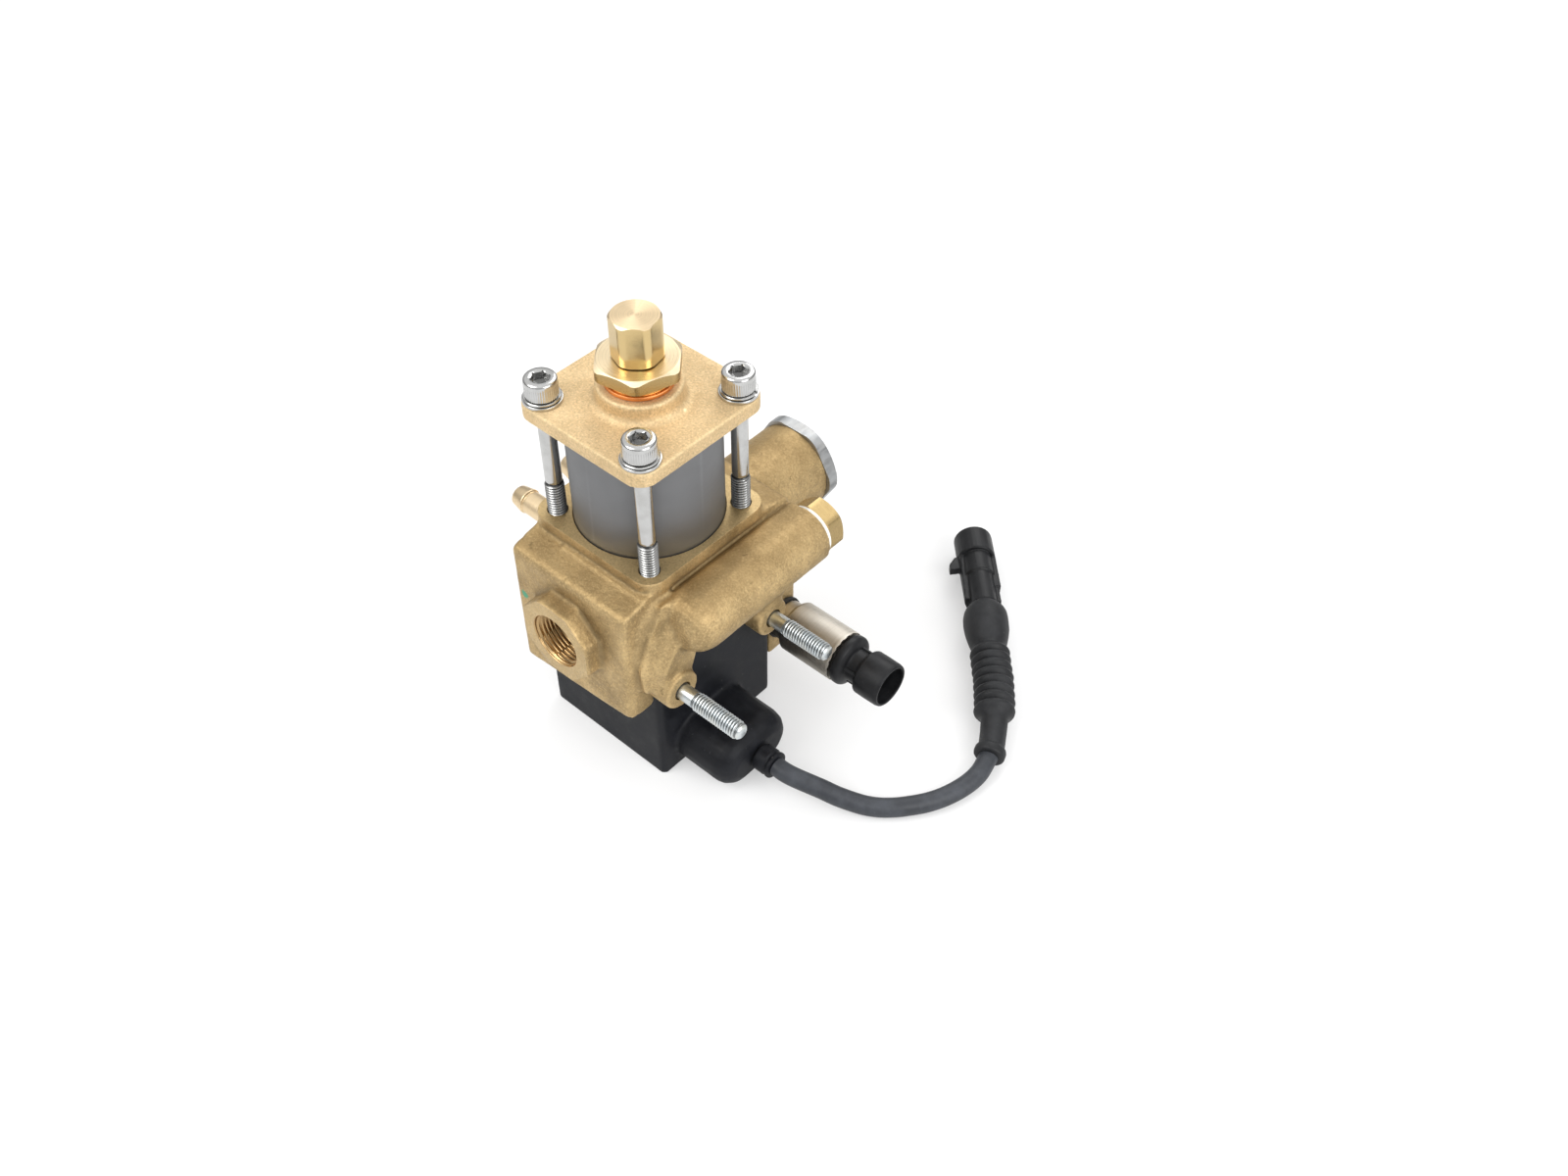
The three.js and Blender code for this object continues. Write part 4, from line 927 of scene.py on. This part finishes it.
def add_adjuster():
    # the way that the nut's and the screw's corners happen to face
    facing = -0.85
    washer = ring(section(8.4, 10.5, 136.1, 137.4), 96, 0.35)
    show(make("seal_washer", washer, COPPER, sharp=50), "valve", "copper_seal_washer",
         slot="copper")
    flange = hex_head(NUT_FLATS, facing, 13.4, NUT_LOW, NUT_HIGH, 13.2, 11.8, 0.62, hole=5)
    collar = ring([(5, 128.6), (7.4, 128.6), (8, 129.2), (8, 137.5), (9.9, 137.5), (9.9, 140.3),
                   (5, 140.3)], 96, 0.15)
    nut = make("bonnet_hexagon", joined(flange, collar), BRASS, soften=0.12)
    # painted shade: the hexagon's sides get a darker copy of the brass
    coat(nut, SHADED_HEX_BRASS, lambda c, n: (c[:, 2] > NUT_LOW - 0.1) & (np.abs(n[:, 2]) < 0.3))
    # painted light: faces that look up get a paler copy of the brass
    coat(nut, TOP_LIT_BRASS, lambda c, n: n[:, 2] > 0.3)
    show(nut, "valve", "bonnet_nut", slot="turned_brass")
    head = hex_head(HEAD_FLATS, facing + TAU / 12, 7.6, HEAD_LOW, HEAD_HIGH, 7.25, 6.95, 0.9)
    head = make("adjuster_head", head, DRAWN_BRASS, soften=0.1)
    # painted light: the head's faces that look up get the paler brass
    coat(head, PALE_BRASS, lambda c, n: n[:, 2] > 0.3)
    show(head, "adjuster", "adjusting_screw", slot="turned_brass")
    stem = lathe([(0, 121.6), (4, 121.6)] + thread(121.8, 144.0, 4.7, 1, 0.4, 6)
                 + [(4.2, 144.2), (4.2, 144.8), (0, 144.8)], 40)
    show(make("adjuster_stem", stem, BRASS, sharp=50), "adjuster", "adjusting_stem",
         slot="turned_brass")


def coils(radius, wire, low, high, turns, first=0.0, last=1.0):
    """Part of a coil spring between two heights, from one fraction of its length to another."""
    steps = int(turns * (last - first) * 36)  # 36 steps to a turn
    path = []
    for u in np.linspace(first, last, steps + 1):
        angle = u * turns * TAU
        height = low + wire + u * (high - low - 2 * wire)
        path.append(Vector((radius * math.cos(angle), radius * math.sin(angle), height)))
    return sweep(path, [(f, wire) for f in np.linspace(0, 1, steps + 1)], 16)


def add_springs():
    """Coils for the two springs, in place of the CAD springs. The large one is in halves,
    since a piece is blended between two bodies only."""
    low, high = REGULATOR_SPRING
    lower = make("spring_coils_lower", coils(14, 1.75, low, high, 3.75, 0, 0.5), SPRING_STEEL)
    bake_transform(lower)
    upper = make("spring_coils_upper", coils(14, 1.75, low, high, 3.75, 0.5, 1), SPRING_STEEL)
    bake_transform(upper)
    for part in (lower, upper):
        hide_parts("regulator_spring")
    low, high = PLUNGER_SPRING
    small = make("plunger_coils", coils(3, 0.4, low, high, 6), SPRING_STEEL)
    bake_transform(small)
    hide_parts("plunger_spring")


# ------------ coil, lead and connector


def add_coil():
    coil = melt("coil_moulding", "coil_housing", [], 0.6, 4, 0.02, COIL_BLACK)
    show(coil, "valve", "coil_housing", slot="black_plastic")
    sleeve = rounded([(0, 49.5), (4.7, 49.5), (4.7, 53.6), (4.3, 53.9), (4.3, 54.5), (4.7, 54.8),
                      (4.7, 55.9), (0, 55.9)], 0.35)
    show(make("lead_gland", lathe(sleeve, 64), COIL_BLACK, along_x(0, *GLAND), 50), "valve",
         "cable_gland", slot="black_plastic")


def longer(path, extra):
    """A path carried straight on by some millimetres."""
    return path + [path[-1] + (path[-1] - path[-2]).normalized() * extra]


def lead_boot():
    """Moulded boot: a cuff on the lead, a band of rounded ribs and a bulb below the connector.
    A station is a fraction of its length and a radius."""
    stations = [(0.0, 3.9), (0.001, 4.7), (0.006, 5.15), (0.014, 5.3), (0.040, 5.3), (0.048, 5.1),
                (0.054, 4.5), (0.06, 4.4), (0.15, 4.45), (0.225, 4.6), (0.238, 5.0)]
    ribs, first, last = 8, 0.25, 0.695
    spacing = (last - first) / ribs
    for i in range(ribs * 8):
        crest = 0.5 - 0.5 * math.cos(i % 8 / 8 * TAU)
        stations.append((first + spacing * i / 8, 5.6 + 1.45 * crest ** 0.5))
    stations += [(0.70, 5.9), (0.72, 6.3), (0.745, 6.8), (0.78, 7.35), (0.83, 7.9), (0.875, 8.05),
                 (0.91, 8.0), (0.94, 7.7), (0.962, 7.2), (0.98, 6.5), (0.99, 6.0), (1.0, 5.4)]
    wobble = [(f, lambda t, r=r, f=f: r * (1 + 0.008 * np.sin(3 * t + 40 * f))) for f, r in stations]
    return sweep(longer(smooth_path(BOOT_ROUTE, 10), 0.5), wobble, 64)


def add_lead():
    path = longer(smooth_path(CABLE_ROUTE, 8), 1.6)
    curve = bpy.data.curves.new("lead", "CURVE")
    curve.dimensions = "3D"
    spline = curve.splines.new("POLY")
    spline.points.add(len(path) - 1)
    for point, p in zip(spline.points, path):
        point.co = (p.x * MM, p.y * MM, p.z * MM, 1)
    spline.use_smooth = True
    curve.bevel_depth = CABLE_R * MM
    curve.bevel_resolution = 8
    curve.use_fill_caps = True
    curve.materials.append(CABLE_GREY)
    lead = linked("lead", curve)
    show(lead, "valve", "coil_cable", slot="grey_cable")

    boot = make("lead_boot", lead_boot(), RUBBER, sharp=60)
    show(boot, "valve", "cable_boot", slot="black_rubber")

    plug = melt("lead_connector", "connector_housing", [], 0.26, 2, 0, PLUG_BLACK)
    show(plug, "valve", "connector_housing", slot="black_plastic")


# ------------ fittings


def add_barbs():
    barb = ring([(1.9, -4.6), (4, -4.6), (4, 4), (3.95, 21.4), (3.85, 21.9), (3.85, 22.1),
                 (4.35, 22.5), (4.3, 23), (3.5, 27.3), (2.9, 27.9), (1.9, 27.9)], 72, 0.25)
    for side, y in zip(("front", "rear"), BARB_Y):
        place = at(-23.6, y, BARB_Z) @ Matrix.Rotation(-TAU / 4, 4, "Y")
        show(make(f"hose_pipe_{side}", barb, PALE_BRASS, place, 30), "valve",
             f"hose_barb_{side}", slot="turned_brass")


def add_studs():
    for i, (y, z, end) in enumerate(STUDS):
        low, high = 41, end - 0.7
        profile = [(0, 27.7), (2.6, 27.7)] + thread(27.9, 34.4, 3, 1, 0.4)
        profile += [(2.65, 34.6), (2.66, 35), (2.66, 40.6), (2.66, 40.9)]
        profile += thread(low, high, 3, 1, 0.6, 10)
        profile += [(2.55, end - 0.6), (2.1, end - 0.12), (1.9, end), (0, end)]
        stud = make(f"stud_{i + 1}", lathe(profile, 56), ZINC, along_x(0, y, z), 55)
        coat(stud, ZINC_THREAD, between(low, high))
        show(stud, "valve", f"mounting_stud_{i + 1}", slot="zinc_steel")


def add_branch_plug():
    place = along_y(BRANCH_X, BRANCH_BACK, BRANCH_Z)
    washer = ring(section(5.3, 8.9, 0.1, 1.6), 72, 0.35)
    show(make("nylon_washer", washer, NYLON, place, 50), "valve", "plug_washer",
         slot="white_washer")
    head = hex_head(16, math.radians(-100), 9, 1.7, 8.4, 8.6, 7.75)
    spigot = lathe([(0, -8), (4.2, -8)] + thread(-7.8, 1.4, 4.7, 1, 0.4, 6)
                   + [(4.3, 1.6), (4.3, 2), (0, 2)], 40)
    plug = make("gallery_plug", joined(head, spigot), BRASS, place, soften=0.1)
    # painted shade: the hexagon's sides get the darker copy of the brass
    coat(plug, SHADED_HEX_BRASS, lambda c, n: (c[:, 2] > 1.5) & (np.abs(n[:, 2]) < 0.3))
    show(plug, "valve", "branch_plug", slot="turned_brass")


def add_filter_cap():
    head = hex_head(31, 0, 16.7, 0.1, 4.8, 16.5, 15.2)
    spigot = lathe(rounded([(0, -9.5), (10.6, -9.5), (11.2, -8.9), (11.2, -4.9), (9.8, -4.9),
                            (9.8, -2.9), (11.2, -2.9), (11.2, 0.3), (0, 0.3)], 0.15), 64)
    show(make("filter_plug", joined(head, spigot), CAP_STEEL, along_y(0, FILTER_FACE, PORT_Z),
              soften=0.25), "valve", "filter_cap", slot="stainless")


def add_sensor():
    place = along_x(*SENSOR)
    # where the barrel's crimped edge and the socket's mouth are, from the sensor's seat
    crimp, mouth = 28, 47
    wavy = lambda t: crimp - 0.4 + 0.13 * np.cos(20 * t)
    barrel = [(0, -12), (6, -12)] + thread(-11.8, 1.9, 6.4, 1.5, 0.6, 6)
    barrel += rounded([(6.4, 2), (7, 2), (7, 6), (8.2, 6), (9, 7), (9, crimp - 2.2)], 0.3)
    barrel += [(9.0, crimp - 1.6), (9.02, crimp - 1.0), (8.97, wavy), (8.72, wavy),
               (8.7, crimp - 0.9), (0, crimp - 0.9)]
    show(make("sensor_barrel", lathe(barrel, 160), SENSOR_STEEL, place, 30), "valve", "sensor_body",
         slot="stainless")
    cup = rounded([
        (0, crimp + 0.3), (8.55, crimp + 0.3), (8.9, crimp + 0.9), (8.9, crimp + 2.4),
        (8.5, crimp + 3.2), (7.2, crimp + 4.1), (6.0, crimp + 4.6), (5.9, crimp + 5.2),
        (5.9, crimp + 7.9), (6.1, crimp + 8.5), (7.5, crimp + 9), (7.85, crimp + 9.6),
        (7.9, crimp + 13.5), (7.82, mouth - 1.2), (7.55, mouth - 0.25), (7.3, mouth), (6.75, mouth),
        (6.6, mouth - 0.3), (6.5, mouth - 9.3), (0, mouth - 9.5),
    ], 0.3)
    key = prism([(6.2, -1.2), (8.75, -1.2), (8.95, -0.9), (8.95, 0.9), (8.75, 1.2), (6.2, 1.2)],
                mouth - 9.4, mouth - 5)
    neck = [moved(box(5.4, 6.5, -0.5, 0.5, crimp + 4.4, crimp + 8.8), Matrix.Rotation(a, 4, "Z"))
            for a in (0.9, 2.6, 4.3, 5.6)]
    show(make("sensor_cup", joined(lathe(cup, 128), key, *neck), PLUG_BLACK, place, 40), "valve",
         "sensor_socket", slot="black_plastic")


# ------------ CAD nodes that keep their own shape

KEPT = [
    (COPPER, ["coil_winding"]),
    (BRASS, ["regulator_piston", "connector_pin_1", "connector_pin_2", "sensor_pin_1", "sensor_pin_2",
             "sensor_pin_3"]),
    (SCREW_STEEL, ["valve_poppet", "valve_seat", "armature_tube"]),
    (SPRING_STEEL, ["upper_spring_seat", "filter_element"]),
    (DARK_STEEL, ["fixed_core", "solenoid_plunger"]),
    (ZINC, ["coil_nut"]),
    (SEAL_RUBBER, ["cylinder_seal_lower", "cylinder_seal_upper", "piston_seal", "filter_cap_seal",
                   "sensor_seal"]),
    (COIL_BLACK, ["coil_end_cap"]),
]


def dress_kept_nodes():
    for material, names in KEPT:
        for name in names:
            for slot in NODES[name].material_slots:
                slot.material = material


# ------------ floor


def add_floor():
    f = Finish("studio_floor", (0.45, 0.45, 0.45), 0.0, 0.9,
               **{"Emission Color": (1, 1, 1, 1), "Emission Strength": 0.42})
    f.set("Base Color", f.mix(f.noise(3, 2), (0.445, 0.445, 0.445), (0.455, 0.455, 0.455)))
    make("floor", box(-3000, 3000, -3000, 3000, -12, -0.05), f.material)


add_camera()
add_studio()
add_coil()
add_lead()
add_casting()
add_cylinder()
add_screws()
add_adjuster()
add_springs()
add_barbs()
add_studs()
add_branch_plug()
add_filter_cap()
add_sensor()
dress_kept_nodes()
add_floor()
